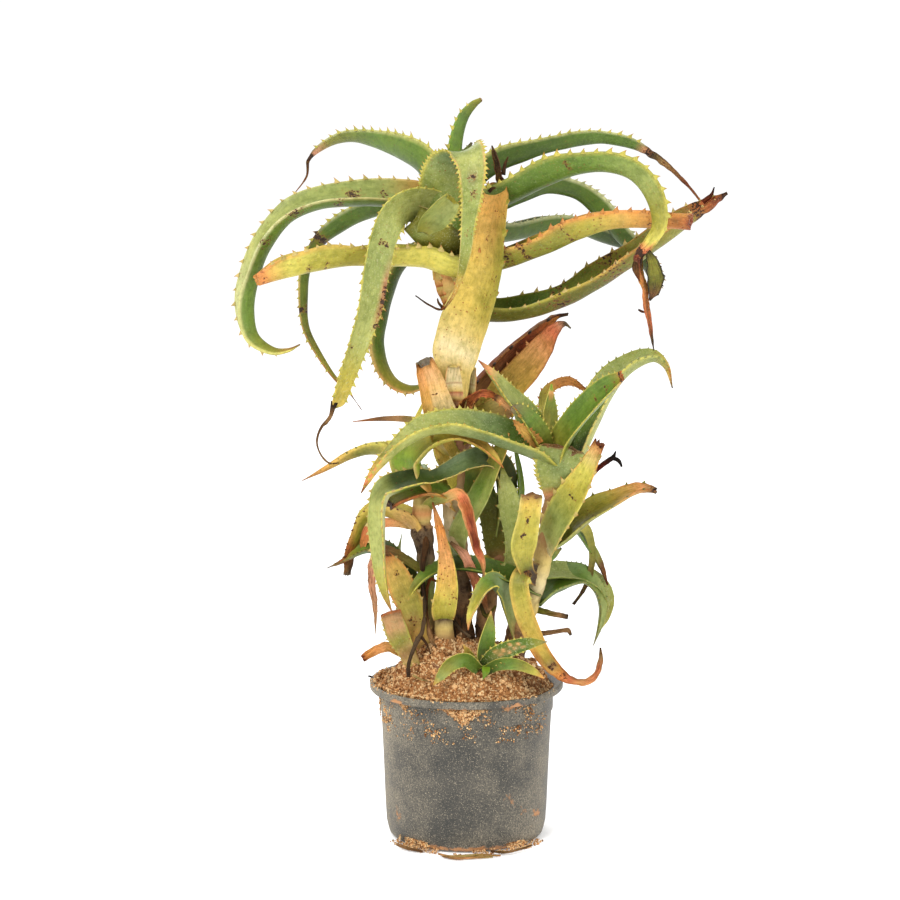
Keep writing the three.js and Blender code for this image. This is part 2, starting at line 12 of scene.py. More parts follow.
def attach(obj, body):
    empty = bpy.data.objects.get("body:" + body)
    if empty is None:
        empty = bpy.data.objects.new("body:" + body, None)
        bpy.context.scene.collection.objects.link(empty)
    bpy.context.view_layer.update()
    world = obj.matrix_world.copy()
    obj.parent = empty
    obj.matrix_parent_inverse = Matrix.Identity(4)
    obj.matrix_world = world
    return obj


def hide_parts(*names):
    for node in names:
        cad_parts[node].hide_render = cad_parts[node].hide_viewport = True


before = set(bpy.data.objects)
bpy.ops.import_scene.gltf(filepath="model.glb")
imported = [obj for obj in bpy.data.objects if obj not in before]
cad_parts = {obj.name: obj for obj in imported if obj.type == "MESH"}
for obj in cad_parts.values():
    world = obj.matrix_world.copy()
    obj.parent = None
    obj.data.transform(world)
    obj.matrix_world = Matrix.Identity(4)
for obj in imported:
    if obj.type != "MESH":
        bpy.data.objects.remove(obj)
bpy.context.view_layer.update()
print("frame loaded")

mm = 0.001
viewer = np.array([-16.5, -3000.0, 895.0])
viewDistance = -viewer[1]
towardsViewer = np.array([0.0, -1.0, 0.0])

camera = {"tilt": 80.56, "lens": 121.2, "clipEnd": 500}

cameraData = bpy.data.cameras.new("plantCamera")
cameraData.lens = camera["lens"]
cameraData.clip_end = camera["clipEnd"]
cameraObject = bpy.data.objects.new("plantCamera", cameraData)
cameraObject.location = viewer * mm
cameraObject.rotation_euler = (math.radians(camera["tilt"]), 0, 0)
bpy.context.scene.collection.objects.link(cameraObject)
bpy.context.scene.camera = cameraObject

# Tones of the plant and the soil, as they look in daylight
tones = {
    "deepGreen": "546e1a", "darkGreen": "3b4c1c", "leafGreen": "68852c", "brightGreen": "7fa022",
    "greyGreen": "949e52", "paleGreen": "b0b464", "blueGreen": "768a5c", "whiteGreen": "cacb96",
    "darkOlive": "68661c", "olive": "8c892e", "yellowOlive": "b5aa42", "yellow": "d6b854",
    "lemon": "d8cc5c", "straw": "e0c676", "cream": "efdca8", "gold": "dfb056", "amber": "f6bc62",
    "orange": "de9448", "peach": "f2ac6c", "pink": "dc9c7a", "salmon": "e27c52",
    "rust": "ae602c", "redBrown": "8a3e1c", "darkRed": "6a200e", "brown": "7a522c",
    "tan": "b88c5c", "greyBrown": "786248", "darkBrown": "44301e", "blackBrown": "261a12",
    "purple": "665058", "grey": "8c8070", "soilPale": "ffdaa2", "soilMid": "f0ae6c", "soilDeep": "7c4a24",
}
lightness = 0.72  # the lights add to a white world, so every tone is darkened by this


# From a screen tone such as "8c892e" to linear colour.
def linear(tone):
    channels = [int(tone[start:start + 2], 16) / 255 for start in (0, 2, 4)]
    return [c / 12.92 if c <= 0.04045 else ((c + 0.055) / 1.055) ** 2.4 for c in channels]


palette = {name: np.array(linear(tone)) * lightness for name, tone in tones.items()}


# Colours along a blade or stem, from stops such as "0 olive, 0.6 yellow, 1 rust".
def coloursAlong(stops, shares):
    pairs = [stop.split() for stop in stops.split(",")]
    places = [float(place) for place, _ in pairs]
    found = np.array([palette[tone] for _, tone in pairs])
    return np.stack([np.interp(shares, places, found[:, channel]) for channel in range(3)], axis=1)


def numbersAlong(stops, shares):
    places, values = zip(*stops)
    return np.interp(shares, places, values)


# A socket by its number, or by its name among those that the node's settings leave in use.
def socketOf(sockets, key):
    if isinstance(key, int):
        return sockets[key]
    return next(socket for socket in sockets if socket.name == key and socket.enabled)


# Node helpers: inputs are given by name or number, as a value or as another node's output.
def addNode(tree, kind, inputs=None, **settings):
    node = tree.nodes.new(kind)
    for key, value in settings.items():
        setattr(node, key, value)
    for key, value in (inputs or {}).items():
        socket = socketOf(node.inputs, key)
        if isinstance(value, bpy.types.NodeSocket):
            tree.links.new(value, socket)
        else:
            socket.default_value = value
    return node


def maths(tree, operation, first, second=0.0, clamp=False):
    inputs = {0: first, 1: second}
    return addNode(tree, "ShaderNodeMath", inputs, operation=operation, use_clamp=clamp).outputs[0]


def times(tree, first, second, clamp=False):
    return maths(tree, "MULTIPLY", first, second, clamp)


# Mixes two colours. A tone's name will do for the second.
def mixed(tree, factor, first, second, blend="MIX"):
    if isinstance(second, str):
        second = solid(second)
    inputs = {0: factor, 6: first, 7: second}
    return addNode(tree, "ShaderNodeMix", inputs, data_type="RGBA", blend_type=blend).outputs[2]


def tinged(tree, tint, red, green, blue):
    return mixed(tree, 1.0, tint, (red, green, blue, 1), "MULTIPLY")


def ranged(tree, value, low, high, toLow=0.0, toHigh=1.0):
    inputs = {"Value": value, "From Min": low, "From Max": high, "To Min": toLow, "To Max": toHigh}
    return addNode(tree, "ShaderNodeMapRange", inputs).outputs[0]


# Lays a colour over a tint where a mask goes from low to high, up to a strength there.
def stained(tree, tint, mask, low, high, strength, colour):
    return mixed(tree, ranged(tree, mask, low, high, 0, strength), tint, colour)


def noiseOf(tree, vector, scale, detail=3.0, rough=0.55):
    inputs = {"Vector": vector, "Scale": scale, "Detail": detail, "Roughness": rough}
    return addNode(tree, "ShaderNodeTexNoise", inputs).outputs["Fac"]


def cellsOf(tree, vector, scale):
    return addNode(tree, "ShaderNodeTexVoronoi", {"Vector": vector, "Scale": scale}).outputs["Distance"]


def attributeOf(tree, name, output="Fac"):
    return addNode(tree, "ShaderNodeAttribute", attribute_name=name).outputs[output]


def objectPlace(tree):
    return addNode(tree, "ShaderNodeTexCoord").outputs["Object"]


def stretchedMap(tree, vector, scale):
    return addNode(tree, "ShaderNodeMapping", {"Vector": vector, "Scale": scale}).outputs[0]


# The blade's own map: once round its section one way, and 100 mm of its length the other way.
def bladePlace(tree):
    return addNode(tree, "ShaderNodeUVMap", uv_map="bladeMap").outputs[0]


def solid(tone):
    return (*palette[tone], 1.0)


def newGroup(name, inputs, outputs):
    tree = bpy.data.node_groups.new(name, "ShaderNodeTree")
    kinds = {"colour": "NodeSocketColor", "number": "NodeSocketFloat"}
    for direction, sockets in (("INPUT", inputs), ("OUTPUT", outputs)):
        for label, kind in sockets.items():
            tree.interface.new_socket(name=label, in_out=direction, socket_type=kinds[kind])
    return tree, tree.nodes.new("NodeGroupInput").outputs, tree.nodes.new("NodeGroupOutput").inputs


# Leaf skin: mottled tint, pale flecks, brown specks, dark scars, dry fibres and brown tooth tips.
def makeLeafSkin():
    inputs = {"Tint": "colour", "Dryness": "number", "Speck": "number", "Scar": "number",
              "Tooth tip": "number", "Bloom": "number"}
    outputs = {"Colour": "colour", "Roughness": "number", "Height": "number"}
    tree, given, result = newGroup("leafSkin", inputs, outputs)
    place = objectPlace(tree)
    clouds = noiseOf(tree, place, 42, 4, 0.6)
    mottle = noiseOf(tree, place, 190, 3, 0.6)
    fine = noiseOf(tree, place, 560, 2, 0.6)
    fibres = noiseOf(tree, stretchedMap(tree, bladePlace(tree), (9, 1.3, 1)), 5, 4, 0.65)
    tint, dryness, speck = given["Tint"], given["Dryness"], given["Speck"]

    deeper = tinged(tree, tint, 0.6, 0.64, 0.42)
    lighter = tinged(tree, tint, 1.28, 1.24, 1.22)
    yellowed = tinged(tree, tint, 1.2, 1.05, 0.8)
    tint = stained(tree, tint, clouds, 0.5, 0.32, 0.8, deeper)
    tint = stained(tree, tint, clouds, 0.54, 0.7, 0.6, yellowed)
    tint = stained(tree, tint, mottle, 0.53, 0.7, 0.7, lighter)
    tint = stained(tree, tint, mottle, 0.47, 0.32, 0.6, deeper)
    tint = stained(tree, tint, fibres, 0.5, 0.36, 0.5, tinged(tree, tint, 0.72, 0.74, 0.62))
    tint = stained(tree, tint, fibres, 0.54, 0.7, 0.4, lighter)
    creases = times(tree, ranged(tree, fibres, 0.52, 0.38, 0, 0.9), dryness)
    tint = mixed(tree, creases, tint, tinged(tree, tint, 0.42, 0.32, 0.24))
    flecks = times(tree, ranged(tree, fine, 0.56, 0.68, 0, 0.5), given["Bloom"])
    tint = mixed(tree, flecks, tint, "whiteGreen")
    speckArea = ranged(tree, noiseOf(tree, place, 34, 2), 0.44, 0.6)
    dots = ranged(tree, cellsOf(tree, place, 210), 0.21, 0.14)
    tint = mixed(tree, times(tree, times(tree, dots, speckArea), speck, True), tint, "redBrown")
    finePoints = ranged(tree, cellsOf(tree, place, 520), 0.2, 0.1, 0, 0.7)
    tint = mixed(tree, times(tree, finePoints, speck, True), tint, "brown")
    reach = maths(tree, "ADD", noiseOf(tree, place, 340, 3, 0.6), times(tree, given["Scar"], 0.4))
    tint = stained(tree, tint, reach, 0.66, 0.76, 0.6, "rust")
    tint = stained(tree, tint, reach, 0.73, 0.8, 0.92, "blackBrown")
    tint = stained(tree, tint, given["Tooth tip"], 0.6, 0.95, 0.8, "rust")

    rough = maths(tree, "ADD", ranged(tree, clouds, 0.3, 0.7, 0.4, 0.54), times(tree, dryness, 0.3))
    ridges = times(tree, fibres, maths(tree, "ADD", dryness, 0.25))
    height = maths(tree, "ADD", ridges, times(tree, mottle, 0.35))
    height = maths(tree, "SUBTRACT", height, times(tree, ranged(tree, reach, 0.7, 0.85), 0.35))
    tree.links.new(tint, result["Colour"])
    tree.links.new(rough, result["Roughness"])
    tree.links.new(height, result["Height"])
    return tree


leafSkin = makeLeafSkin()


def newMaterial(name):
    material = bpy.data.materials.new(name)
    material.use_nodes = True
    tree = material.node_tree
    return material, tree, tree.nodes["Principled BSDF"]


# Gives a shader its colour, roughness and bump, from nodes, and its gloss, as a number.
def finishShader(tree, shader, colour, roughness, height, bump, specular):
    tree.links.new(colour, shader.inputs["Base Color"])
    tree.links.new(roughness, shader.inputs["Roughness"])
    raised = addNode(tree, "ShaderNodeBump", {"Height": height, "Distance": bump, "Strength": 1.0})
    tree.links.new(raised.outputs[0], shader.inputs["Normal"])
    shader.inputs["Specular IOR Level"].default_value = specular


leafFinishes = {
    "green_leaf": {"name": "freshLeaf", "bloom": 0.14, "specular": 0.3, "glow": 0.06, "bump": 0.0012},
    "grey_green_leaf": {"name": "waxyLeaf", "bloom": 0.8, "specular": 0.25, "glow": 0.06, "bump": 0.0012},
    "dark_green_leaf": {"name": "shadedLeaf", "bloom": 0.1, "specular": 0.3, "glow": 0.04, "bump": 0.0012},
    "olive_leaf": {"name": "oliveLeaf", "bloom": 0.3, "specular": 0.28, "glow": 0.05, "bump": 0.0013},
    "yellow_leaf": {"name": "yellowedLeaf", "bloom": 0.2, "specular": 0.25, "glow": 0.06, "bump": 0.0015},
    "orange_leaf": {"name": "witheringLeaf", "bloom": 0.1, "specular": 0.2, "glow": 0.05, "bump": 0.0018},
    "dry_leaf": {"name": "driedLeaf", "bloom": 0.0, "specular": 0.15, "glow": 0.0, "bump": 0.0022},
}
glowDepth = (0.004, 0.005, 0.002)  # metres that light goes into a leaf, by colour


def makeLeafMaterial(finish):
    material, tree, shader = newMaterial(finish["name"])
    skin = addNode(tree, "ShaderNodeGroup", node_tree=leafSkin)
    skin.inputs["Bloom"].default_value = finish["bloom"]
    tree.links.new(attributeOf(tree, "tint", "Color"), skin.inputs["Tint"])
    for attribute, socket in (("dryness", "Dryness"), ("speck", "Speck"), ("scar", "Scar"),
                              ("toothTip", "Tooth tip")):
        tree.links.new(attributeOf(tree, attribute), skin.inputs[socket])
    finishShader(tree, shader, skin.outputs["Colour"], skin.outputs["Roughness"], skin.outputs["Height"],
                 finish["bump"], finish["specular"])
    shader.inputs["Subsurface Weight"].default_value = finish["glow"]
    shader.inputs["Subsurface Radius"].default_value = glowDepth
    shader.inputs["Subsurface Scale"].default_value = 1.0
    return material


leafMaterials = {slot: makeLeafMaterial(finish) for slot, finish in leafFinishes.items()}


# Stems: cloudy bark with upright cracks and dark grime, tinted along their height.
def makeStemMaterial():
    material, tree, shader = newMaterial("corkyStem")
    place = objectPlace(tree)
    dryness = attributeOf(tree, "dryness")
    clouds = noiseOf(tree, place, 60, 5, 0.62)
    cracks = noiseOf(tree, stretchedMap(tree, bladePlace(tree), (22, 2.2, 1)), 3, 5, 0.7)
    grime = noiseOf(tree, place, 140, 4, 0.7)
    tint = attributeOf(tree, "tint", "Color")
    darker = tinged(tree, tint, 0.62, 0.52, 0.4)
    tint = stained(tree, tint, clouds, 0.55, 0.35, 0.6, darker)
    tint = stained(tree, tint, cracks, 0.47, 0.33, 0.55, darker)
    tint = mixed(tree, times(tree, ranged(tree, grime, 0.5, 0.62), dryness), tint, "darkBrown")
    tint = mixed(tree, times(tree, ranged(tree, grime, 0.42, 0.3, 0, 0.5), dryness), tint, "tan")
    bark = times(tree, grime, maths(tree, "ADD", dryness, 0.12))
    finishShader(tree, shader, tint, ranged(tree, clouds, 0.3, 0.7, 0.62, 0.85),
                 maths(tree, "ADD", bark, times(tree, cracks, 0.4)), 0.0018, 0.25)
    return material


# Soil: each granule has its own brown; painted shade darkens the bed between granules, gaps between clumps
# and patches by the stems.
def makeSoilMaterial():
    material, tree, shader = newMaterial("granularSoil")
    place = objectPlace(tree)
    grain = attributeOf(tree, "grain")
    clouds = noiseOf(tree, place, 700, 3, 0.6)
    gapShade = noiseOf(tree, place, 150, 3, 0.6)
    # granules get a random brown from this value, and the bed's low value paints shade into the gaps
    # between them
    tint = mixed(tree, ranged(tree, grain, 0.0, 0.35), solid("soilDeep"), "soilMid")
    tint = stained(tree, tint, grain, 0.25, 0.8, 1, "soilPale")
    tint = stained(tree, tint, grain, 0.95, 0.96, 1, "brown")
    tint = stained(tree, tint, clouds, 0.52, 0.36, 0.6, "soilDeep")
    # painted shade in the gaps between clumps
    tint = stained(tree, tint, gapShade, 0.46, 0.37, 0.5, "soilDeep")
    tint = stained(tree, tint, gapShade, 0.38, 0.31, 0.4, "blackBrown")
    # painted shade on the soil round the stems and under the low front-right leaves
    tint = mixed(tree, attributeOf(tree, "damp"), tint, "blackBrown")
    finishShader(tree, shader, tint, ranged(tree, clouds, 0.3, 0.7, 0.8, 0.95), clouds, 0.0009, 0.2)
    return material


potTones = {"newPlastic": (0.024, 0.024, 0.021, 1), "wornPlastic": (0.04, 0.038, 0.032, 1),
            "dust": (0.3, 0.255, 0.18, 1), "grit": (0.5, 0.42, 0.3, 1), "scratch": (0.3, 0.27, 0.22, 1),
            "mud": (0.4, 0.19, 0.075, 1)}


# Pot: worn charcoal plastic with pale dust, grit, soil smears and fine scratches; the pale film also holds
# painted rim light and shade.
def makePotMaterial():
    material, tree, shader = newMaterial("dustyPotWithPaintedLight")
    place = objectPlace(tree)
    clouds = noiseOf(tree, place, 22, 5, 0.65)
    speckle = noiseOf(tree, place, 620, 4, 0.7)
    grit = cellsOf(tree, place, 900)
    scratches = noiseOf(tree, stretchedMap(tree, place, (1, 1, 9)), 60, 4, 0.6)
    crust = noiseOf(tree, place, 120, 5, 0.7)
    plastic = mixed(tree, ranged(tree, clouds, 0.35, 0.65), potTones["newPlastic"], potTones["wornPlastic"])
    # the pale film: dust, and painted rim light at the pot's left and right edges
    film = times(tree, ranged(tree, clouds, 0.38, 0.62, 0.2, 0.82), attributeOf(tree, "dust"))
    film = times(tree, film, ranged(tree, speckle, 0.36, 0.6), True)
    tint = mixed(tree, film, plastic, potTones["dust"])
    points = times(tree, ranged(tree, grit, 0.34, 0.2, 0, 0.8), ranged(tree, speckle, 0.46, 0.58))
    tint = mixed(tree, points, tint, potTones["grit"])
    tint = stained(tree, tint, scratches, 0.64, 0.72, 0.25, potTones["scratch"])
    caked = maths(tree, "ADD", crust, times(tree, attributeOf(tree, "mud"), 0.5))
    caked = ranged(tree, caked, 0.74, 0.86)
    tint = mixed(tree, caked, tint, potTones["mud"])
    rough = maths(tree, "ADD", 0.46, times(tree, film, 0.5), True)
    lumps = maths(tree, "ADD", times(tree, caked, 0.6), times(tree, speckle, 0.18))
    finishShader(tree, shader, tint, rough, lumps, 0.0012, 0.4)
    return material


stemMaterial = makeStemMaterial()
soilMaterial = makeSoilMaterial()
potMaterial = makePotMaterial()
print("materials made")


# Pushes rows of the upright plane back along the viewer's line of sight, in millimetres.
def placed(rows):
    rows = np.asarray(rows, float)
    onPlane = np.stack([rows[:, 0], np.zeros(len(rows)), rows[:, 1]], axis=1)
    return viewer + (onPlane - viewer) * (1 + rows[:, 2:3] / viewDistance)


# A centripetal curve through points, at shares from 0 to 1.
def curveThrough(points, shares):
    last = len(points) - 1
    padded = np.vstack([2 * points[0] - points[1], points, 2 * points[last] - points[last - 1]])
    whole = np.minimum((shares * last).astype(int), last - 1)
    part = (shares * last - whole)[:, None]
    p0, p1, p2, p3 = (padded[whole + step] for step in range(4))
    d0, d1, d2 = (np.sqrt(np.maximum(np.linalg.norm(b - a, axis=1), 1e-6))[:, None]
                  for a, b in ((p0, p1), (p1, p2), (p2, p3)))
    leaving = ((p1 - p0) / d0 - (p2 - p0) / (d0 + d1) + (p2 - p1) / d1) * d1
    arriving = ((p2 - p1) / d1 - (p3 - p1) / (d1 + d2) + (p3 - p2) / d2) * d1
    bend = 3 * (p2 - p1) - 2 * leaving - arriving
    return p1 + leaving * part + bend * part**2 + (2 * (p1 - p2) + leaving + arriving) * part**3


def widthsThrough(widths, shares):
    widths = np.asarray(widths, float)
    last = len(widths) - 1
    padded = np.concatenate([widths[:1], widths, widths[-1:]])
    whole = np.minimum((shares * last).astype(int), last - 1)
    part = shares * last - whole
    p0, p1, p2, p3 = (padded[whole + step] for step in range(4))
    leaving, arriving = (p2 - p0) / 2, (p3 - p1) / 2
    cubic = (2 * p1 - 2 * p2 + leaving + arriving) * part**3
    return cubic + (3 * (p2 - p1) - 2 * leaving - arriving) * part**2 + leaving * part + p1


def unit(vectors):
    return vectors / np.maximum(np.linalg.norm(vectors, axis=-1, keepdims=True), 1e-9)


def lengthOf(points):
    return np.linalg.norm(np.diff(points, axis=0), axis=1).sum()


def arcAlong(points):
    return np.concatenate([[0], np.cumsum(np.linalg.norm(np.diff(points, axis=0), axis=1))])


# Stations along a path: their shares, centres, directions and half widths (at least 0.3 mm).
def stationsAlong(points, path, count):
    shares = np.linspace(0, 1, count)
    centres = curveThrough(points, shares)
    before, after = np.maximum(shares - 1e-3, 0), np.minimum(shares + 1e-3, 1)
    ahead = curveThrough(points, after) - curveThrough(points, before)
    halves = np.maximum(widthsThrough([row[3] for row in path], shares), 0.3)
    return shares, centres, unit(ahead), halves


# The direction across the blade, its upper face's direction and the direction across it in the picture.
def bladeFrames(leaf, shares, along, turn):
    inView = unit(np.cross(towardsViewer, along))
    if "span" in leaf:
        span = np.array(leaf["span"], float)
        across = unit(span - along * (along @ span)[:, None])
        return across, np.cross(across, along), inView
    side = -1 if leaf["path"][-1][0] < leaf["path"][0][0] else 1
    facing = np.cross(along, inView)
    turns = np.atleast_1d(turn)
    angle = np.radians(np.interp(shares, np.linspace(0, 1, len(turns)), turns))[:, None]
    face = facing * np.cos(angle) + inView * side * np.sin(angle)
    return np.cross(along, face), face, inView


# Smooth noise from -1 to 1 at each point.
def waver(points, scale, seed):
    shift = Vector((seed * 7.13, seed * 3.71, seed * 5.37))
    return np.array([noise.noise(Vector(point) * scale + shift) for point in points])


def setAttribute(mesh, label, data):
    kinds = {1: ("FLOAT", "value"), 3: ("FLOAT_VECTOR", "vector"), 4: ("FLOAT_COLOR", "color")}
    kind, field = kinds[data.shape[1]]
    attribute = mesh.attributes.new(label, kind, "POINT")
    attribute.data.foreach_set(field, np.ascontiguousarray(data, np.float32).ravel())


# Joins rings of points into a closed mesh with its attributes. A cap closes each end.
def meshOfRings(name, rings, values, arc):
    count, sides = rings.shape[:2]
    centres = rings[[0, -1]].mean(axis=1)
    points = np.vstack([rings.reshape(-1, 3), centres]) * mm
    ring, side = np.meshgrid(np.arange(count - 1), np.arange(sides), indexing="ij")
    beside = (side + 1) % sides
    quads = np.stack([ring * sides + side, ring * sides + beside, (ring + 1) * sides + beside,
                      (ring + 1) * sides + side], axis=-1).reshape(-1, 4)
    sideUv = np.stack([side, side + 1, side + 1, side], axis=-1).reshape(-1) / sides
    arcUv = arc[np.stack([ring, ring, ring + 1, ring + 1], axis=-1).reshape(-1)] / 100
    first, last = len(points) - 2, len(points) - 1
    end = (count - 1) * sides
    caps = [(first, (s + 1) % sides, s) for s in range(sides)]
    caps += [(last, end + s, end + (s + 1) % sides) for s in range(sides)]
    a, b, c, d = np.moveaxis(points[quads], 1, 0)
    volume = np.einsum("ij,ij->i", a, np.cross(b, c)).sum() + np.einsum("ij,ij->i", a, np.cross(c, d)).sum()
    faces = quads.tolist() + caps
    uvs = np.stack([sideUv, arcUv], axis=1).reshape(-1, 4, 2)
    if volume < 0:  # inside out, so every face is turned round
        faces = [face[::-1] for face in faces]
        uvs = uvs[:, ::-1]
    mesh = bpy.data.meshes.new(name)
    mesh.from_pydata(points.tolist(), [], faces)
    capUvs = np.tile([0.5, 0.0], (len(caps) * 3, 1))
    layer = mesh.uv_layers.new(name="bladeMap")
    layer.data.foreach_set("uv", np.vstack([uvs.reshape(-1, 2), capUvs]).astype(np.float32).ravel())
    for label, data in values.items():
        data = np.asarray(data, np.float32)
        ends = data.reshape(count, sides, -1)[[0, -1]].mean(axis=1)
        setAttribute(mesh, label, np.vstack([data.reshape(count * sides, -1), ends]).astype(np.float32))
    mesh.shade_smooth()
    return mesh


def smoothStep(low, high, value):
    share = np.clip((value - low) / (high - low), 0, 1)
    return share * share * (3 - 2 * share)


def bumpAt(value, centre, reach):
    return np.exp(-(((value - centre) / reach) ** 2))


blade = {
    "thickness": 0.3,            # of the half width
    "leastThickness": 1.1,       # mm, on blades more than 6 mm broad
    "dryThinning": 0.35,         # share of the thickness and of the breadth that a dry blade loses
    "dryNarrowing": 0.12,
    "margin": 1.0,               # mm thick at the edge
    "above": 0.25,               # share of the thickness above and below the blade's middle
    "below": 0.75,
    "upperPower": 2.1,           # how late the two faces rise towards the margin
    "lowerPower": 2.3,
    "spread": (0.22, 0.43, 0.62, 0.78, 0.9, 0.97),
    "ringStep": 2.7,             # mm along the blade
    "fewestRings": 26,
    "edgeWave": 0.25,            # of the half width
    "unevenness": 0.8,           # mm
    "creases": (0.15, 0.9),      # mm on a fresh blade, and as much more on a dry one
    "crumple": 2.2,              # mm on a dry blade
    "jag": {"cut": 1.6, "torn": 4.0},   # mm that a broken end runs in and out
    "jagReach": 14,              # mm back from the end
    # painted shade: without under tones, the lower face is the upper face's tint darkened by this
    "underPaintedShade": (0.78, 0.82, 0.66),
    "edgeShade": 1.12,
    "toothFade": 0.05,
    "toothGrowth": 1.08,
    "toothShade": 0.78,
}
# What a leaf has where it says nothing else. The comment above the leaves says what each of them is.
usualLeaf = {
    "turn": 0, "channel": 0.24, "wider": 1.1, "roll": 1.0, "end": "tip", "rim": "darkBrown", "hollow": 3.0,
    "teeth": (9, 3), "toothTone": "lemon", "toothed": (0.06, 0.97), "toothSides": "both", "speck": 0.35,
    "dry": ((0, 0), (1, 0)), "under": None, "edge": None, "edgeFrom": 0.86, "scars": (), "marks": (),
}
upperSide = np.array([-x for x in blade["spread"][::-1]] + [0.0] + list(blade["spread"]))
sectionX = np.concatenate([[-1.0], upperSide, [1.0], upperSide[::-1]])
sectionSides = len(sectionX)
rightMargin = len(upperSide) + 1
isUpper = np.arange(sectionSides) <= rightMargin


# How far each point of the section lies across the blade and above its middle, in millimetres.
def bladeSection(halves, dryness, channelShare, roll):
    depth = blade["thickness"] * halves + blade["leastThickness"] * np.minimum(1, halves / 3)
    depth = depth * (1 - blade["dryThinning"] * dryness)
    channel = np.minimum(channelShare * (1 + 1.5 * dryness * roll), max(1.0, channelShare)) * halves
    margin = np.minimum(blade["margin"], depth * 0.6)
    above, below = blade["above"] * depth, blade["below"] * depth
    power = np.abs(sectionX)[None, :]
    upper = above[:, None] + (channel - above)[:, None] * power ** blade["upperPower"]
    lower = -below[:, None] + (channel - margin + below)[:, None] * power ** blade["lowerPower"]
    tall = np.where(isUpper[None, :], upper, lower)
    tall[:, 0] = tall[:, rightMargin] = channel - margin * 0.5
    wide = sectionX[None, :] * halves[:, None] * (1 - blade["dryNarrowing"] * dryness[:, None] * power**2)
    return wide, tall, channel / halves


def reachInView(wide, tall, across, face, inView):
    reach = wide * (across * inView).sum(axis=1)[:, None] + tall * (face * inView).sum(axis=1)[:, None]
    return reach.min(axis=1), reach.max(axis=1)


# The blade's frames and section. A leaf with "view" is folded deeper and turned by those angles instead,
# and is then scaled and moved so that it covers nearly the same breadth in the picture.
def foldBlade(leaf, shares, centres, along, halves, dryness):
    across, face, inView = bladeFrames(leaf, shares, along, leaf["turn"])
    wide, tall, slope = bladeSection(halves, dryness, leaf["channel"], leaf["roll"])
    if "view" in leaf:
        flatWide, flatTall, _ = bladeSection(halves, dryness * 0, usualLeaf["channel"], leaf["roll"])
        low, high = reachInView(flatWide, flatTall, across, face, inView)
        across, face, inView = bladeFrames(leaf, shares, along, leaf["view"])
        newLow, newHigh = reachInView(wide, tall, across, face, inView)
        scale = (high - low) / (newHigh - newLow) * leaf["wider"]
        wide, tall, halves = wide * scale[:, None], tall * scale[:, None], halves * scale
        centres = centres + inView * ((high + low) / 2 - scale * (newHigh + newLow) / 2)[:, None]
    return centres, across, face, wide, tall, halves, slope


# Adds an uneven skin, long creases and, where the blade is dry, crumples.
def roughenBlade(rings, centres, arc, halves, dryness, seed):
    count = len(rings)
    outwards = unit(rings - centres[:, None] + 1e-6)
    flat = rings.reshape(-1, 3)
    slow = waver(flat, 0.04, seed).reshape(count, sectionSides)
    stretched = np.stack([np.tile(sectionX, count) * 9, np.repeat(arc * 0.03, sectionSides),
                          np.tile(isUpper * 5.0, count)], axis=1)
    creases = waver(stretched, 1.0, seed + 5).reshape(count, sectionSides)
    small = np.minimum(1, halves / 6)[:, None]
    fresh, dry = blade["creases"]
    push = slow * blade["unevenness"] * small + creases * (fresh + dry * dryness[:, None]) * small
    crumple = waver(flat, 0.16, seed + 9).reshape(count, sectionSides) * blade["crumple"]
    return rings + outwards * (push + crumple * dryness[:, None] * small)[..., None]


# A patch of the blade, from its share along, reach, and from side to side, where -1 and 1 are the margins.
def patchOf(shares, x, place, reach, fromX, toX):
    patch = bumpAt(shares, place, reach)[:, None] * smoothStep(fromX - 0.2, fromX, x)
    return patch * (1 - smoothStep(toX, toX + 0.2, x))


def tintBlade(leaf, shares, x):
    upperTint = coloursAlong(leaf["tones"], shares)
    # the lower face is a painted-shade copy of the upper face unless under tones are given
    lowerTint = upperTint * np.array(blade["underPaintedShade"])
    if leaf["under"] == "same":
        lowerTint = upperTint
    elif leaf["under"]:
        lowerTint = coloursAlong(leaf["under"], shares)
    edgeTint = coloursAlong(leaf["edge"], shares) if leaf["edge"] else upperTint * blade["edgeShade"]
    tint = np.where(isUpper[None, :, None], upperTint[:, None], lowerTint[:, None])
    edging = smoothStep(leaf["edgeFrom"], 1.0, np.abs(x))[..., None]
    tint = tint * (1 - edging) + edgeTint[:, None] * edging
    for place, reach, fromX, toX, tone, strength in leaf["marks"]:
        weight = (patchOf(shares, x, place, reach, fromX, toX) * strength)[..., None]
        tint = tint * (1 - weight) + palette[tone] * weight
    scar = np.zeros(x.shape)
    for place, reach, fromX, toX, strength in leaf["scars"]:
        scar = np.maximum(scar, patchOf(shares, x, place, reach, fromX, toX) * strength)
    return np.clip(tint, 0, 1), scar


# Hollows and browns the broken end with two more rings.
def hollowEnd(leaf, rings, tint, along):
    centre = rings[-1].mean(axis=0)
    inner = centre + (rings[-1] - centre) * 0.72
    deep = centre + (rings[-1] - centre) * 0.5 - along[-1] * leaf["hollow"]
    rim = palette[leaf["rim"]]
    tint = np.concatenate([tint, np.tile(rim, (2, sectionSides, 1))])
    tint[-3] = tint[-3] * 0.35 + rim * 0.65
    return np.concatenate([rings, inner[None], deep[None]]), tint


# How long the teeth are at each point of the margins, in metres.
def toothSizes(leaf, shares, halves, across, broken):
    low, high = leaf["toothed"]
    fade = blade["toothFade"]
    grown = smoothStep(low, low + fade, shares) * (1 - smoothStep(high - fade, high, shares))
    if broken:
        grown[-3:] = 0
    size = leaf["teeth"][1] * blade["toothGrowth"] * mm * grown
    size = size * np.minimum(1, 0.4 + halves / 14)
    near, far = ("right", "left") if (across @ towardsViewer).mean() > 0 else ("left", "right")
    sides = {"near": near, "far": far}.get(leaf["toothSides"], leaf["toothSides"])
    sizes = np.zeros((len(shares), sectionSides))
    for side, column in (("left", 0), ("right", rightMargin)):
        if sides in ("both", side):
            sizes[:, column] = size
    return sizes


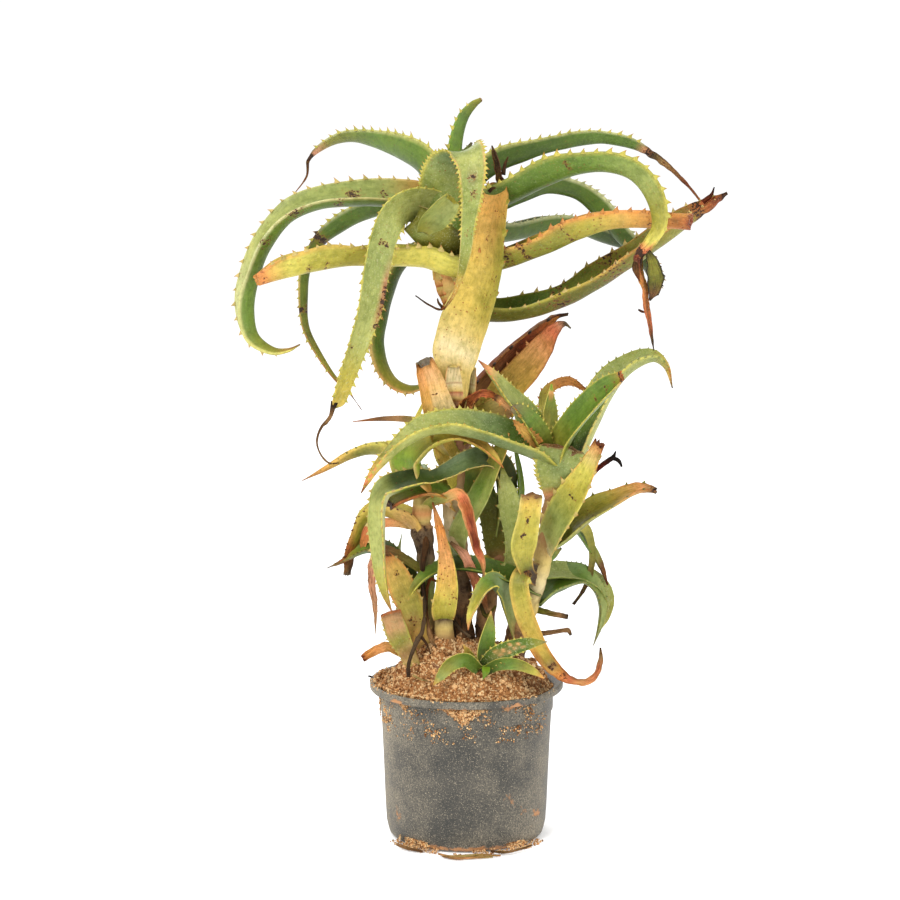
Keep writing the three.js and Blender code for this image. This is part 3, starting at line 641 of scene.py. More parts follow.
def markMargins(mesh, pointCount):
    ends = np.zeros(len(mesh.edges) * 2, np.int32)
    mesh.edges.foreach_get("vertices", ends)
    ends = ends.reshape(-1, 2)
    onMargin = np.zeros(len(ends), bool)
    for column in (0, rightMargin):
        onMargin |= (ends % sectionSides == column).all(axis=1)
    marked = mesh.attributes.new("margin", "BOOLEAN", "EDGE")
    marked.data.foreach_set("value", (ends < pointCount).all(axis=1) & onMargin)


# One leaf blade. Its teeth grow later from the marked margins.
def makeBlade(name, leaf, seed):
    rough = placed(leaf["path"])
    count = int(max(blade["fewestRings"], lengthOf(rough) / blade["ringStep"]))
    shares, centres, along, halves = stationsAlong(rough, leaf["path"], count)
    arc = arcAlong(centres)
    dryness = numbersAlong(leaf["dry"], shares)
    centres, across, face, wide, tall, halves, slope = foldBlade(
        leaf, shares, centres, along, halves, dryness)

    x = np.tile(sectionX, (count, 1))
    edgeWave = np.array([[noise.noise(Vector((a * 0.02, seed * 3.1, k * 9.0))) for k in (0, 1)]
                         for a in arc])
    lift = np.where(x < 0, edgeWave[:, :1], edgeWave[:, 1:]) * np.abs(x)**3 * halves[:, None]
    tall = tall + lift * blade["edgeWave"]
    rings = centres[:, None] + across[:, None] * wide[..., None] + face[:, None] * tall[..., None]
    rings = roughenBlade(rings, centres, arc, halves, dryness, seed)
    tint, scar = tintBlade(leaf, shares, x)

    broken = leaf["end"] in blade["jag"]
    if broken:
        jagged = np.array([noise.noise(Vector((k * 0.7, seed * 2.3, 0))) for k in range(sectionSides)])
        reach = leaf.get("jag", blade["jag"][leaf["end"]])
        last = np.clip((arc - arc[-1] + blade["jagReach"]) / blade["jagReach"], 0, 1) ** 2
        rings = rings + along[:, None] * (jagged * reach)[None, :, None] * last[:, None, None]
        rings, tint = hollowEnd(leaf, rings, tint, along)
        dryness, shares, along, across, face, arc, halves, slope, scar = (
            np.concatenate([values, values[-1:], values[-1:]])
            for values in (dryness, shares, along, across, face, arc, halves, slope, scar))

    total = len(rings)
    outward = np.zeros((total, sectionSides, 3))
    rising = 1.8 * slope[:, None] * face + 0.2 * along
    outward[:, 0] = rising - across
    outward[:, rightMargin] = rising + across
    mesh = meshOfRings(name, rings, {
        "tint": np.concatenate([tint, np.ones((total, sectionSides, 1))], axis=2),
        "dryness": np.repeat(dryness, sectionSides),
        "speck": np.full(total * sectionSides, leaf["speck"]),
        "scar": scar,
        "toothSize": toothSizes(leaf, shares, halves, across, broken),
        "outward": outward,
        "lean": np.repeat(along[:, None], sectionSides, axis=1),
    }, arc)
    markMargins(mesh, total * sectionSides)
    return mesh


# A Geometry Nodes tree with named inputs, given as (kind, value), and one mesh out.
def newGeometryTree(name, inputs, output):
    tree = bpy.data.node_groups.new(name, "GeometryNodeTree")
    sockets = {}
    for label, (kind, value) in inputs.items():
        socket = tree.interface.new_socket(name=label, in_out="INPUT", socket_type="NodeSocket" + kind)
        if value is not None:
            socket.default_value = value
        sockets[label] = socket.identifier
    tree.interface.new_socket(name=output, in_out="OUTPUT", socket_type="NodeSocketGeometry")
    return tree, sockets, tree.nodes.new("NodeGroupInput").outputs, tree.nodes.new("NodeGroupOutput").inputs


def namedValue(tree, label, kind):
    node = addNode(tree, "GeometryNodeInputNamedAttribute", {"Name": label}, data_type=kind)
    return socketOf(node.outputs, "Attribute")


def storedOn(tree, geometry, label, value, kind, domain):
    inputs = {"Geometry": geometry, "Name": label, "Value": value}
    node = addNode(tree, "GeometryNodeStoreNamedAttribute", inputs, data_type=kind, domain=domain)
    return node.outputs[0]


def randomOf(tree, kind, low, high, seed):
    node = addNode(tree, "FunctionNodeRandomValue", {"Min": low, "Max": high, "Seed": seed}, data_type=kind)
    return socketOf(node.outputs, "Value")


# Joins what has grown to the mesh that it grew on, as one plain mesh with its material.
def endTree(tree, grown, base, material, result):
    both = tree.nodes.new("GeometryNodeJoinGeometry")
    tree.links.new(grown, both.inputs[0])
    tree.links.new(base, both.inputs[0])
    real = addNode(tree, "GeometryNodeRealizeInstances", {0: both.outputs[0]})
    clothed = addNode(tree, "GeometryNodeSetMaterial", {"Geometry": real.outputs[0], "Material": material})
    tree.links.new(clothed.outputs[0], result[0])


# Teeth along the margins: small hooked cones that lean towards the leaf's tip.
def makeToothTree():
    tree, sockets, given, result = newGeometryTree("marginTeeth", {
        "Blade": ("Geometry", None), "Tooth spacing": ("Float", 0.009), "Tooth colour": ("Color", None),
        "Seed": ("Int", 1), "Skin": ("Material", None)}, "Toothed blade")

    cone = addNode(tree, "GeometryNodeMeshCone", {"Vertices": 6, "Side Segments": 4, "Fill Segments": 1,
                                                  "Radius Top": 0.0, "Radius Bottom": 0.62, "Depth": 1.2})
    position = addNode(tree, "GeometryNodeInputPosition").outputs[0]
    x, y, height = addNode(tree, "ShaderNodeSeparateXYZ", {0: position}).outputs
    pinch = maths(tree, "SUBTRACT", 1.05, times(tree, height, 0.45))
    hook = times(tree, maths(tree, "POWER", height, 2.0), 0.3)
    hooked = addNode(tree, "ShaderNodeCombineXYZ", {
        0: maths(tree, "ADD", times(tree, x, pinch), hook), 1: times(tree, times(tree, y, pinch), 0.5),
        2: maths(tree, "SUBTRACT", height, 0.2)}).outputs[0]
    tipped = storedOn(tree, cone.outputs["Mesh"], "toothTip", height, "FLOAT", "POINT")
    shaped = addNode(tree, "GeometryNodeSetPosition", {"Geometry": tipped, "Position": hooked})

    line = addNode(tree, "GeometryNodeMeshToCurve", {"Mesh": given["Blade"],
                                                     "Selection": namedValue(tree, "margin", "BOOLEAN")})
    spaced = addNode(tree, "GeometryNodeResampleCurve", {
        "Curve": line.outputs[0], "Length": given["Tooth spacing"]}, mode="LENGTH")
    size = namedValue(tree, "toothSize", "FLOAT")
    facing = addNode(tree, "FunctionNodeAxesToRotation", {
        "Primary Axis": namedValue(tree, "outward", "FLOAT_VECTOR"),
        "Secondary Axis": namedValue(tree, "lean", "FLOAT_VECTOR")}, primary_axis="Z", secondary_axis="X")
    teeth = addNode(tree, "GeometryNodeInstanceOnPoints", {
        "Points": spaced.outputs[0], "Selection": maths(tree, "GREATER_THAN", size, 0.0004),
        "Instance": shaped.outputs[0], "Rotation": facing.outputs[0],
        "Scale": times(tree, size, randomOf(tree, "FLOAT", 0.62, 1.18, given["Seed"]))})
    toned = storedOn(tree, teeth.outputs[0], "tint", given["Tooth colour"], "FLOAT_COLOR", "INSTANCE")
    endTree(tree, toned, given["Blade"], given["Skin"], result)
    return tree, sockets


toothTree, toothSockets = makeToothTree()


def newObject(name, data):
    piece = bpy.data.objects.new(name, data)
    bpy.context.scene.collection.objects.link(piece)
    return piece


# Turns a piece's modifiers into a plain mesh.
def settle(piece):
    bpy.context.view_layer.update()
    graph = bpy.context.evaluated_depsgraph_get()
    plain = bpy.data.meshes.new_from_object(piece.evaluated_get(graph), preserve_all_data_layers=True,
                                            depsgraph=graph)
    piece.modifiers.clear()
    old = piece.data
    plain.name = piece.name
    piece.data = plain
    bpy.data.meshes.remove(old)
    return piece


# Puts a tree on a piece as a modifier, with its inputs set by their sockets' identifiers.
def addTree(piece, label, tree, sockets, values):
    modifier = piece.modifiers.new(label, "NODES")
    modifier.node_group = tree
    for name, value in values.items():
        modifier[sockets[name]] = value


def joinPieces(name, pieces):
    first = pieces[0]
    with bpy.context.temp_override(active_object=first, selected_editable_objects=pieces,
                                   selected_objects=pieces):
        bpy.ops.object.join()
    first.name = name
    first.data.name = name
    return first


# Piece names are the CAD nodes' names in another form, such as pupLeafLeft for pup_leaf_left.
def camel(node):
    words = node.split("_")
    return words[0] + "".join(word.capitalize() for word in words[1:])


leafCount = 0


def makeLeaf(name, leaf, slot):
    global leafCount
    leafCount += 1
    leaf = {**usualLeaf, **leaf}
    piece = newObject(name, makeBlade(name, leaf, leafCount))
    toothTone = palette[leaf["toothTone"]] * blade["toothShade"]
    addTree(piece, "teeth", toothTree, toothSockets, {
        "Tooth spacing": leaf["teeth"][0] * mm, "Tooth colour": (*toothTone, 1.0), "Seed": leafCount,
        "Skin": leafMaterials[slot]})
    return settle(piece)


# Leaves. path is the rows of each, and slot is its material.
# turn is how far the upper face is turned from the viewer, in degrees, evenly spaced along the blade. view
# is the same for a blade with a deeper channel, which then covers wider times the breadth. span is a fixed
# direction across the blade instead. channel is how high the margins stand, as a share of the half width,
# and roll is how much more they curl where the blade is dry. end is tip, cut or torn, with the tone of its
# rim, the depth of its hollow and its jag in mm. teeth are (mm apart, mm long), toothed from and to these
# shares of the length, and toothSides is both, left, right, near or far from the viewer. speck is how
# speckled the blade is, and dry is how dry it is at shares of the length. tones, under and edge are the
# colours of the upper face, the lower face and the margins from base to tip, where under can be the same
# as tones, and edgeFrom is where the edge begins. scars are (share along, reach, from side, to side,
# strength), and marks are the same with a tone before the strength, where -1 and 1 are the two margins.
crownLeaves = {
    "crown_heart_leaf": {
        "slot": "green_leaf", "turn": 50, "view": 100, "channel": 0.7, "end": "cut", "rim": "rust",
        "hollow": 1.5, "teeth": (9, 4.4), "toothed": (0.1, 0.85), "toothSides": "near", "speck": 0.15,
        "path": ((-10, 635, 0, 10), (-11, 672, 0, 11), (-10, 705, 3, 10), (-3, 728, 8, 7.5),
                 (7, 741, 12, 4.5), (14, 746, 14, 2.5)),
        "tones": "0 olive, 0.15 brightGreen, 0.6 leafGreen, 0.85 olive, 0.94 olive, 1 brown",
        "scars": ((0.55, 0.05, -1, 0, 0.35),),
        "marks": ((0.55, 0.08, -1, -0.3, "greyBrown", 0.5), (0.3, 0.12, -0.2, 0.8, "deepGreen", 0.4))},
    "crown_leaf_folded": {
        "slot": "grey_green_leaf", "span": (-1, 0, -0.25), "teeth": (4.6, 3.6), "toothed": (0.1, 0.72),
        "speck": 0.6, "dry": ((0, 0), (0.82, 0), (0.92, 0.9), (1, 1)),
        "path": ((-14, 611, -8, 17), (-22, 639, -22, 19), (-25, 667, -34, 20), (-15, 687, -45, 20),
                 (-1, 694, -58, 18), (5, 681, -70, 14), (5, 657, -75, 10.5), (2, 627, -76, 7.5),
                 (-1, 597, -75, 5.5), (-6, 572, -72, 3.5), (-14, 551, -69, 1.8), (-23, 538, -67, 1)),
        "tones": "0 greyGreen, 0.3 blueGreen, 0.42 paleGreen, 0.5 greyGreen, 0.7 greyGreen, 0.8 olive, "
                 "0.88 gold, 1 brown",
        "under": "0 leafGreen, 0.2 greyGreen, 0.3 blueGreen, 0.4 paleGreen, 0.6 paleGreen, 0.8 olive, "
                 "0.9 rust, 1 brown",
        "edge": "0 lemon, 0.3 lemon, 0.42 peach, 0.6 straw, 0.8 straw, 0.88 rust, 1 brown",
        "edgeFrom": 0.84,
        "scars": ((0.5, 0.014, -0.2, 0.2, 0.8), (0.56, 0.018, -0.4, 0.1, 0.6), (0.68, 0.014, 0, 0.4, 0.6)),
        "marks": ((0.5, 0.03, -0.3, 0.3, "purple", 0.4),)},
    "crown_leaf_curled": {
        "slot": "grey_green_leaf", "turn": 180, "channel": 0.4, "end": "cut", "rim": "darkOlive",
        "hollow": 0.5, "teeth": (5, 0),
        "path": ((-2, 602, -8, 14), (-20, 608, -22, 17), (-38, 617, -36, 17), (-52, 627, -46, 14)),
        "tones": "0 darkOlive, 0.3 olive, 0.6 greyGreen, 1 olive",
        "under": "0 darkOlive, 0.25 darkOlive, 0.5 olive, 0.8 greyGreen, 1 olive",
        "edge": "0 olive, 1 olive", "edgeFrom": 0.9},
    "crown_leaf_front_left": {
        "slot": "grey_green_leaf", "turn": (-20, -45), "end": "cut", "rim": "blackBrown",
        "teeth": (8.6, 4.2), "toothed": (0.12, 0.93),
        "path": ((-14, 625, -6, 17), (-30, 641, -20, 19), (-53, 644, -40, 19), (-72, 634, -58, 17),
                 (-83, 610, -71, 15.5), (-89, 581, -78, 15), (-96, 547, -83, 14.5), (-108, 507, -87, 13),
                 (-120, 472, -89, 11), (-129, 445, -90, 8.5), (-133, 439, -90, 2.5)),
        "tones": "0 greyGreen, 0.2 paleGreen, 0.5 greyGreen, 0.7 paleGreen, 0.8 yellowOlive, 0.93 yellow, "
                 "0.97 olive, 1 blackBrown", "edge": "0 lemon, 0.7 lemon, 1 gold", "edgeFrom": 0.9,
        "scars": ((0.42, 0.014, -0.4, 0.2, 0.75), (0.58, 0.05, -1, -0.8, 0.8), (0.64, 0.03, -1, -0.8, 0.7),
                  (0.72, 0.012, 0.4, 0.9, 0.5), (0.97, 0.03, -1, 1, 0.6)),
        "marks": ((0.56, 0.07, -1, -0.72, "pink", 0.75), (0.56, 0.03, -1, -0.8, "redBrown", 0.6),
                  (0.62, 0.03, -1, -0.7, "redBrown", 0.5))},
    "crown_leaf_left_sweeping": {
        "slot": "green_leaf", "turn": (50, -25), "view": (46, 66, 78, 82, 82), "channel": 0.7,
        "teeth": (14.3, 4.6), "toothTone": "straw", "toothed": (0.1, 0.95), "toothSides": "far",
        "dry": ((0, 0), (0.93, 0), (1, 0.8)),
        "path": ((-16, 619, -2, 16), (-34, 644, -8, 17), (-66, 652, -18, 16), (-106, 653, -30, 14),
                 (-146, 649, -40, 12), (-178, 635, -46, 10.5), (-202, 606, -51, 10), (-216, 572, -55, 9.5),
                 (-221, 537, -58, 9), (-214, 509, -60, 7), (-194, 496, -62, 4.5), (-178, 497, -63, 2.5),
                 (-166, 503, -64, 0.6)),
        "tones": "0 olive, 0.12 greyGreen, 0.35 greyGreen, 0.5 paleGreen, 0.7 whiteGreen, 0.85 paleGreen, "
                 "1 gold", "under": "0 leafGreen, 0.4 leafGreen, 0.7 leafGreen, 0.85 olive, 1 rust",
        "edge": "0 straw, 0.5 whiteGreen, 1 lemon", "edgeFrom": 0.88,
        "scars": ((0.26, 0.02, -0.2, 0.5, 0.8), (0.3, 0.012, -0.9, -0.5, 0.7), (0.2, 0.01, 0, 0.5, 0.6),
                  (0.4, 0.03, -1, -0.7, 0.6), (0.5, 0.02, -1, -0.7, 0.5)),
        "marks": ((0.12, 0.05, 0.4, 1, "orange", 0.5),)},
    "crown_leaf_right_arching": {
        "slot": "olive_leaf", "turn": (50, -20), "view": (97, 97, 94, 76, 60), "channel": 0.85,
        "teeth": (13, 5.2), "toothed": (0.04, 0.62), "toothSides": "near",
        "dry": ((0, 0), (0.6, 0), (0.68, 1), (1, 1)),
        "path": ((-6, 627, -4, 16), (16, 645, -12, 18), (42, 656, -22, 18), (72, 671, -36, 16.5),
                 (106, 683, -52, 14), (139, 685, -66, 11.5), (166, 675, -78, 9.5), (182, 657, -86, 8.5),
                 (190, 637, -91, 7.5), (190, 619, -94, 6.5), (181, 604, -95, 5.5), (171, 591, -95, 4),
                 (172, 577, -94, 3.5), (177, 560, -93, 3), (179, 542, -92, 2.8), (184, 516, -90, 2),
                 (187, 497, -89, 0.5)),
        "tones": "0 darkOlive, 0.12 olive, 0.25 leafGreen, 0.4 greyGreen, 0.5 yellowOlive, 0.56 lemon, "
                 "0.62 lemon, 0.66 salmon, 0.69 darkRed, 0.73 brown, 0.78 orange, 0.92 salmon, "
                 "0.96 darkBrown, 1 blackBrown",
        "under": "0 darkOlive, 0.12 deepGreen, 0.28 leafGreen, 0.42 greyGreen, 0.5 olive, "
                 "0.57 yellowOlive, 0.62 lemon, 0.66 salmon, 0.69 darkRed, 0.73 brown, 0.78 orange, "
                 "0.92 salmon, 0.96 darkBrown, 1 blackBrown",
        "edge": "0 greyGreen, 0.45 yellowOlive, 0.6 lemon, 0.64 salmon, 0.7 darkRed, 0.78 rust, "
                "1 darkBrown", "edgeFrom": 0.92,
        "scars": ((0.2, 0.006, 0.1, 0.3, 0.7), (0.25, 0.006, 0.6, 0.8, 0.7), (0.2, 0.006, -0.3, -0.1, 0.7),
                  (0.67, 0.02, -1, 1, 0.9))},
    "crown_leaf_left_high": {
        "slot": "green_leaf", "turn": (40, 55), "view": 97, "channel": 0.85, "wider": 1.2,
        "teeth": (11.5, 4.6), "toothed": (0.05, 0.74), "toothSides": "near",
        "dry": ((0, 0), (0.7, 0), (0.78, 1), (1, 1)),
        "path": ((-13, 627, 4, 15), (-25, 661, 16, 17), (-41, 684, 34, 16), (-66, 698, 62, 14),
                 (-96, 708, 90, 10.5), (-121, 709, 108, 7.5), (-142, 700, 122, 4.5), (-156, 687, 128, 2),
                 (-158, 671, 130, 1.3), (-170, 654, 132, 0.5)),
        "tones": "0 yellowOlive, 0.1 leafGreen, 0.25 deepGreen, 0.4 leafGreen, 0.55 olive, 0.68 olive, "
                 "0.75 tan, 0.8 darkBrown, 0.88 greyBrown, 0.93 salmon, 1 rust",
        "under": "0 leafGreen, 0.4 leafGreen, 0.62 olive, 0.72 pink, 0.76 darkBrown, 1 rust",
        "edge": "0 lemon, 0.6 whiteGreen, 0.75 brown, 0.85 blackBrown, 1 rust", "edgeFrom": 0.93,
        "scars": ((0.76, 0.03, -1, 1, 1),)},
    "crown_leaf_right_high": {
        "slot": "green_leaf", "turn": 50, "view": 97, "channel": 0.85, "teeth": (11, 4.2),
        "toothed": (0.05, 0.68), "toothSides": "near", "speck": 0.15,
        "dry": ((0, 0), (0.64, 0), (0.7, 1), (1, 0.9)),
        "path": ((-8, 637, 6, 14), (6, 664, 18, 16), (24, 680, 30, 15.5), (54, 693, 46, 14),
                 (89, 703, 62, 12), (129, 708, 78, 9.5), (160, 703, 88, 7.5), (180, 694, 94, 5),
                 (202, 678, 99, 3.2), (221, 659, 103, 2), (235, 641, 106, 0.8)),
        "tones": "0 deepGreen, 0.3 deepGreen, 0.5 leafGreen, 0.62 leafGreen, 0.67 pink, 0.71 darkBrown, "
                 "0.76 tan, 0.88 redBrown, 1 rust",
        "edge": "0 lemon, 0.6 whiteGreen, 0.7 darkBrown, 1 redBrown", "edgeFrom": 0.93,
        "scars": ((0.69, 0.02, -1, 1, 0.9), (0.78, 0.05, -1, 1, 0.4))},
    "crown_leaf_back_upper": {
        "slot": "green_leaf", "span": (1, 0, 0), "dry": ((0, 0), (0.9, 0), (1, 1)),
        "path": ((-9, 622, 10, 15), (-7, 647, 34, 16), (-3, 662, 66, 14), (2, 661, 104, 11),
                 (5, 645, 138, 8), (6, 621, 160, 5), (6, 597, 172, 1)),
        "tones": "0 olive, 0.3 leafGreen, 0.7 olive, 0.92 gold, 1 rust"},
    "crown_leaf_right_back": {
        "slot": "dark_green_leaf", "turn": 45, "view": 95, "channel": 0.8, "end": "torn",
        "teeth": (8.5, 4.2), "toothTone": "whiteGreen", "toothSides": "near",
        "path": ((-8, 619, 10, 14), (16, 637, 28, 16), (46, 651, 48, 15), (79, 661, 68, 13),
                 (109, 656, 84, 12.5), (133, 636, 95, 12.5), (156, 610, 102, 11), (176, 589, 105, 10.5),
                 (187, 570, 106, 10), (184, 554, 106, 3)),
        "tones": "0 darkGreen, 0.55 darkGreen, 0.75 darkGreen, 0.85 darkOlive, 0.94 olive, 1 darkBrown",
        "under": "0 deepGreen, 0.55 deepGreen, 0.8 darkGreen, 0.94 darkOlive, 1 darkBrown",
        "edge": "0 whiteGreen, 0.6 whiteGreen, 0.85 darkBrown, 1 darkBrown", "edgeFrom": 0.9},
    "crown_leaf_left_back": {
        "slot": "green_leaf", "turn": 50, "view": (97, 97, 90), "channel": 0.8, "teeth": (9, 4),
        "toothed": (0.05, 0.85), "toothSides": "near", "dry": ((0, 0), (0.82, 0), (0.92, 1), (1, 1)),
        "path": ((-16, 611, 6, 15), (-36, 635, 22, 16), (-66, 644, 36, 15), (-96, 637, 46, 14),
                 (-121, 625, 52, 12.5), (-144, 608, 57, 10.5), (-158, 583, 60, 8), (-162, 552, 61, 6.5),
                 (-160, 522, 61, 5), (-148, 495, 60, 3.8), (-131, 469, 59, 2.3), (-117, 454, 58, 0.9),
                 (-105, 437, 57, 0.4)),
        "tones": "0 olive, 0.15 leafGreen, 0.38 leafGreen, 0.42 olive, 0.47 leafGreen, 0.7 olive, "
                 "0.82 yellowOlive, 0.9 rust, 1 redBrown",
        "edge": "0 whiteGreen, 0.36 whiteGreen, 0.42 blackBrown, 0.5 straw, 0.85 rust, 1 redBrown",
        "edgeFrom": 0.92, "scars": ((0.41, 0.014, -1, 1, 0.95), (0.62, 0.012, -1, 0.6, 0.8))},
    "crown_leaf_right_hidden": {
        "slot": "dark_green_leaf", "turn": 40, "view": 95, "channel": 0.8, "teeth": (9, 3.4),
        "toothTone": "whiteGreen", "toothSides": "near",
        "path": ((-10, 601, 12, 12), (16, 611, 36, 13), (46, 615, 60, 12), (79, 621, 84, 11),
                 (109, 621, 102, 10), (134, 612, 114, 9), (160, 602, 124, 6), (176, 592, 128, 1)),
        "tones": "0 darkGreen, 0.6 darkGreen, 0.8 darkOlive, 1 brown",
        "under": "0 deepGreen, 0.55 deepGreen, 0.8 darkGreen, 0.94 darkOlive, 1 darkBrown",
        "edge": "0 whiteGreen, 1 whiteGreen", "edgeFrom": 0.93},
    "crown_leaf_right_yellow": {
        "slot": "olive_leaf", "turn": 35, "view": 96, "channel": 0.75, "end": "torn", "rim": "redBrown",
        "teeth": (13.5, 5), "toothTone": "orange", "toothSides": "near", "speck": 0.9,
        "path": ((-16, 579, 0, 12), (12, 583, -10, 13), (46, 592, -22, 13), (79, 604, -38, 12.5),
                 (109, 617, -50, 12), (139, 626, -60, 11), (174, 628, -69, 10.5), (222, 625, -80, 9.5)),
        "tones": "0 darkOlive, 0.25 olive, 0.52 olive, 0.66 yellowOlive, 0.8 gold, 0.92 orange, 1 rust",
        "under": "same", "edge": "0 straw, 0.35 gold, 0.6 orange, 1 orange",
        "scars": ((0.28, 0.04, -1, 1, 0.5), (0.36, 0.02, 0, 1, 0.7), (0.55, 0.02, 0.2, 1, 0.5),
                  (0.9, 0.03, -1, 1, 0.4))},
    "crown_leaf_left_level": {
        "slot": "olive_leaf", "turn": 35, "view": 96, "channel": 0.75, "end": "torn", "rim": "orange",
        "hollow": 0.6, "jag": 3, "teeth": (11.5, 5), "toothTone": "straw", "toothSides": "near",
        "speck": 0.5,
        "path": ((2, 577, -12, 12), (-19, 582, -15, 12.5), (-41, 590, -20, 13), (-76, 591, -36, 12.5),
                 (-116, 591, -54, 12), (-151, 586, -68, 12.5), (-181, 579, -80, 11.5), (-208, 567, -90, 6)),
        "tones": "0 yellowOlive, 0.2 lemon, 0.4 lemon, 0.6 yellowOlive, 0.85 lemon, 0.94 gold, 1 salmon",
        "under": "same", "edge": "0 olive, 0.35 yellowOlive, 0.85 gold, 1 salmon", "edgeFrom": 0.9,
        "scars": ((0.52, 0.008, -1, -0.4, 0.8), (0.68, 0.014, -0.6, 0.4, 0.6), (0.76, 0.014, -0.6, 0, 0.6),
                  (0.97, 0.02, -1, 1, 0.45)), "marks": ((1, 0.05, -1, 1, "orange", 0.6),)},
    "crown_leaf_left_low": {
        "slot": "dark_green_leaf", "turn": 45, "view": (90, 100), "channel": 0.7, "teeth": (8, 3.6),
        "toothTone": "straw",
        "path": ((-17, 591, 8, 11), (-36, 597, 24, 11), (-55, 594, 36, 10), (-69, 579, 44, 9.5),
                 (-79, 552, 50, 9), (-85, 527, 53, 9), (-88, 502, 54, 9), (-83, 479, 55, 8.5),
                 (-72, 464, 55, 7), (-58, 458, 54, 5.5), (-44, 461, 53, 3), (-34, 467, 52, 0.8)),
        "tones": "0 darkGreen, 0.4 deepGreen, 0.55 leafGreen, 0.7 yellowOlive, 0.85 olive, 1 leafGreen",
        "edge": "0 greyGreen, 0.5 straw, 0.75 peach, 1 straw", "edgeFrom": 0.85},
    "crown_leaf_right_low": {
        "slot": "olive_leaf", "turn": -25, "view": (82, 80), "channel": 0.8, "teeth": (14, 4.4),
        "toothTone": "straw", "toothed": (0.2, 0.95), "speck": 0.9,
        "dry": ((0, 0), (0.78, 0), (0.86, 0.8), (1, 1)),
        "path": ((-17, 545, 4, 10), (6, 540, 6, 12), (34, 538, 4, 11.5), (69, 544, 0, 11.5),
                 (99, 555, -5, 11.5), (129, 572, -10, 11.5), (159, 591, -15, 11), (189, 611, -20, 10),
                 (219, 633, -25, 9), (242, 645, -28, 6), (258, 654, -30, 1.2)),
        "tones": "0 darkOlive, 0.3 deepGreen, 0.6 olive, 0.76 olive, 0.84 rust, 0.93 salmon, 1 blackBrown",
        "under": "0 darkOlive, 0.3 darkOlive, 0.5 darkOlive, 0.72 olive, 0.8 olive, 0.88 rust, "
                 "0.94 redBrown, 1 blackBrown",
        "edge": "0 olive, 0.4 yellowOlive, 0.7 orange, 0.92 redBrown, 1 blackBrown", "edgeFrom": 0.88,
        "scars": ((0.38, 0.05, -1, 1, 0.5), (0.55, 0.05, -1, 1, 0.5), (0.84, 0.03, -1, 1, 0.8),
                  (0.98, 0.03, -1, 1, 0.9))},
    "crown_old_leaf": {
        "slot": "yellow_leaf", "turn": 30, "channel": 0.42, "teeth": (30, 7), "toothTone": "yellowOlive",
        "toothed": (0.36, 0.72), "toothSides": "right", "speck": 0.9,
        "dry": ((0, 0.1), (0.7, 0.1), (0.78, 0.4), (0.82, 1), (1, 1)),
        "path": ((-10, 424, -4, 9.5), (-8, 443, -10, 11), (-7, 461, -14, 15), (-8, 478, -17, 19),
                 (-7, 492, -20, 24), (-2, 508, -23, 26), (4, 525, -26, 27), (9, 540, -29, 26.5),
                 (16, 560, -32, 23), (22, 584, -35, 20.5), (24.5, 608, -36, 18.5), (28, 630, -37, 17),
                 (31, 645, -37, 15), (33.5, 657, -37, 13), (36, 664, -37, 5.5), (33, 671, -37, 4.5),
                 (31.5, 682, -37, 4.2), (28, 693, -37, 3), (25, 701, -37, 0.8)),
        "tones": "0 pink, 0.08 straw, 0.16 straw, 0.24 cream, 0.3 straw, 0.38 yellow, 0.48 yellow, "
                 "0.58 gold, 0.66 amber, 0.74 amber, 0.79 orange, 0.82 brown, 0.9 darkBrown, 1 brown",
        "under": "0 pink, 0.08 straw, 0.16 cream, 0.28 cream, 0.36 yellowOlive, 0.46 yellow, 0.56 gold, "
                 "0.66 orange, 0.76 orange, 0.8 brown, 1 darkBrown",
        "edge": "0 straw, 0.3 straw, 0.5 yellowOlive, 0.66 gold, 0.78 rust, 1 brown", "edgeFrom": 0.8,
        "scars": ((0.48, 0.02, 0.4, 0.7, 0.4), (0.56, 0.02, -0.2, 0.2, 0.35), (0.8, 0.02, -1, 1, 0.8)),
        "marks": ((0.5, 0.14, 0.5, 1, "olive", 0.75), (0.42, 0.1, 0, 0.5, "yellowOlive", 0.4))},
}

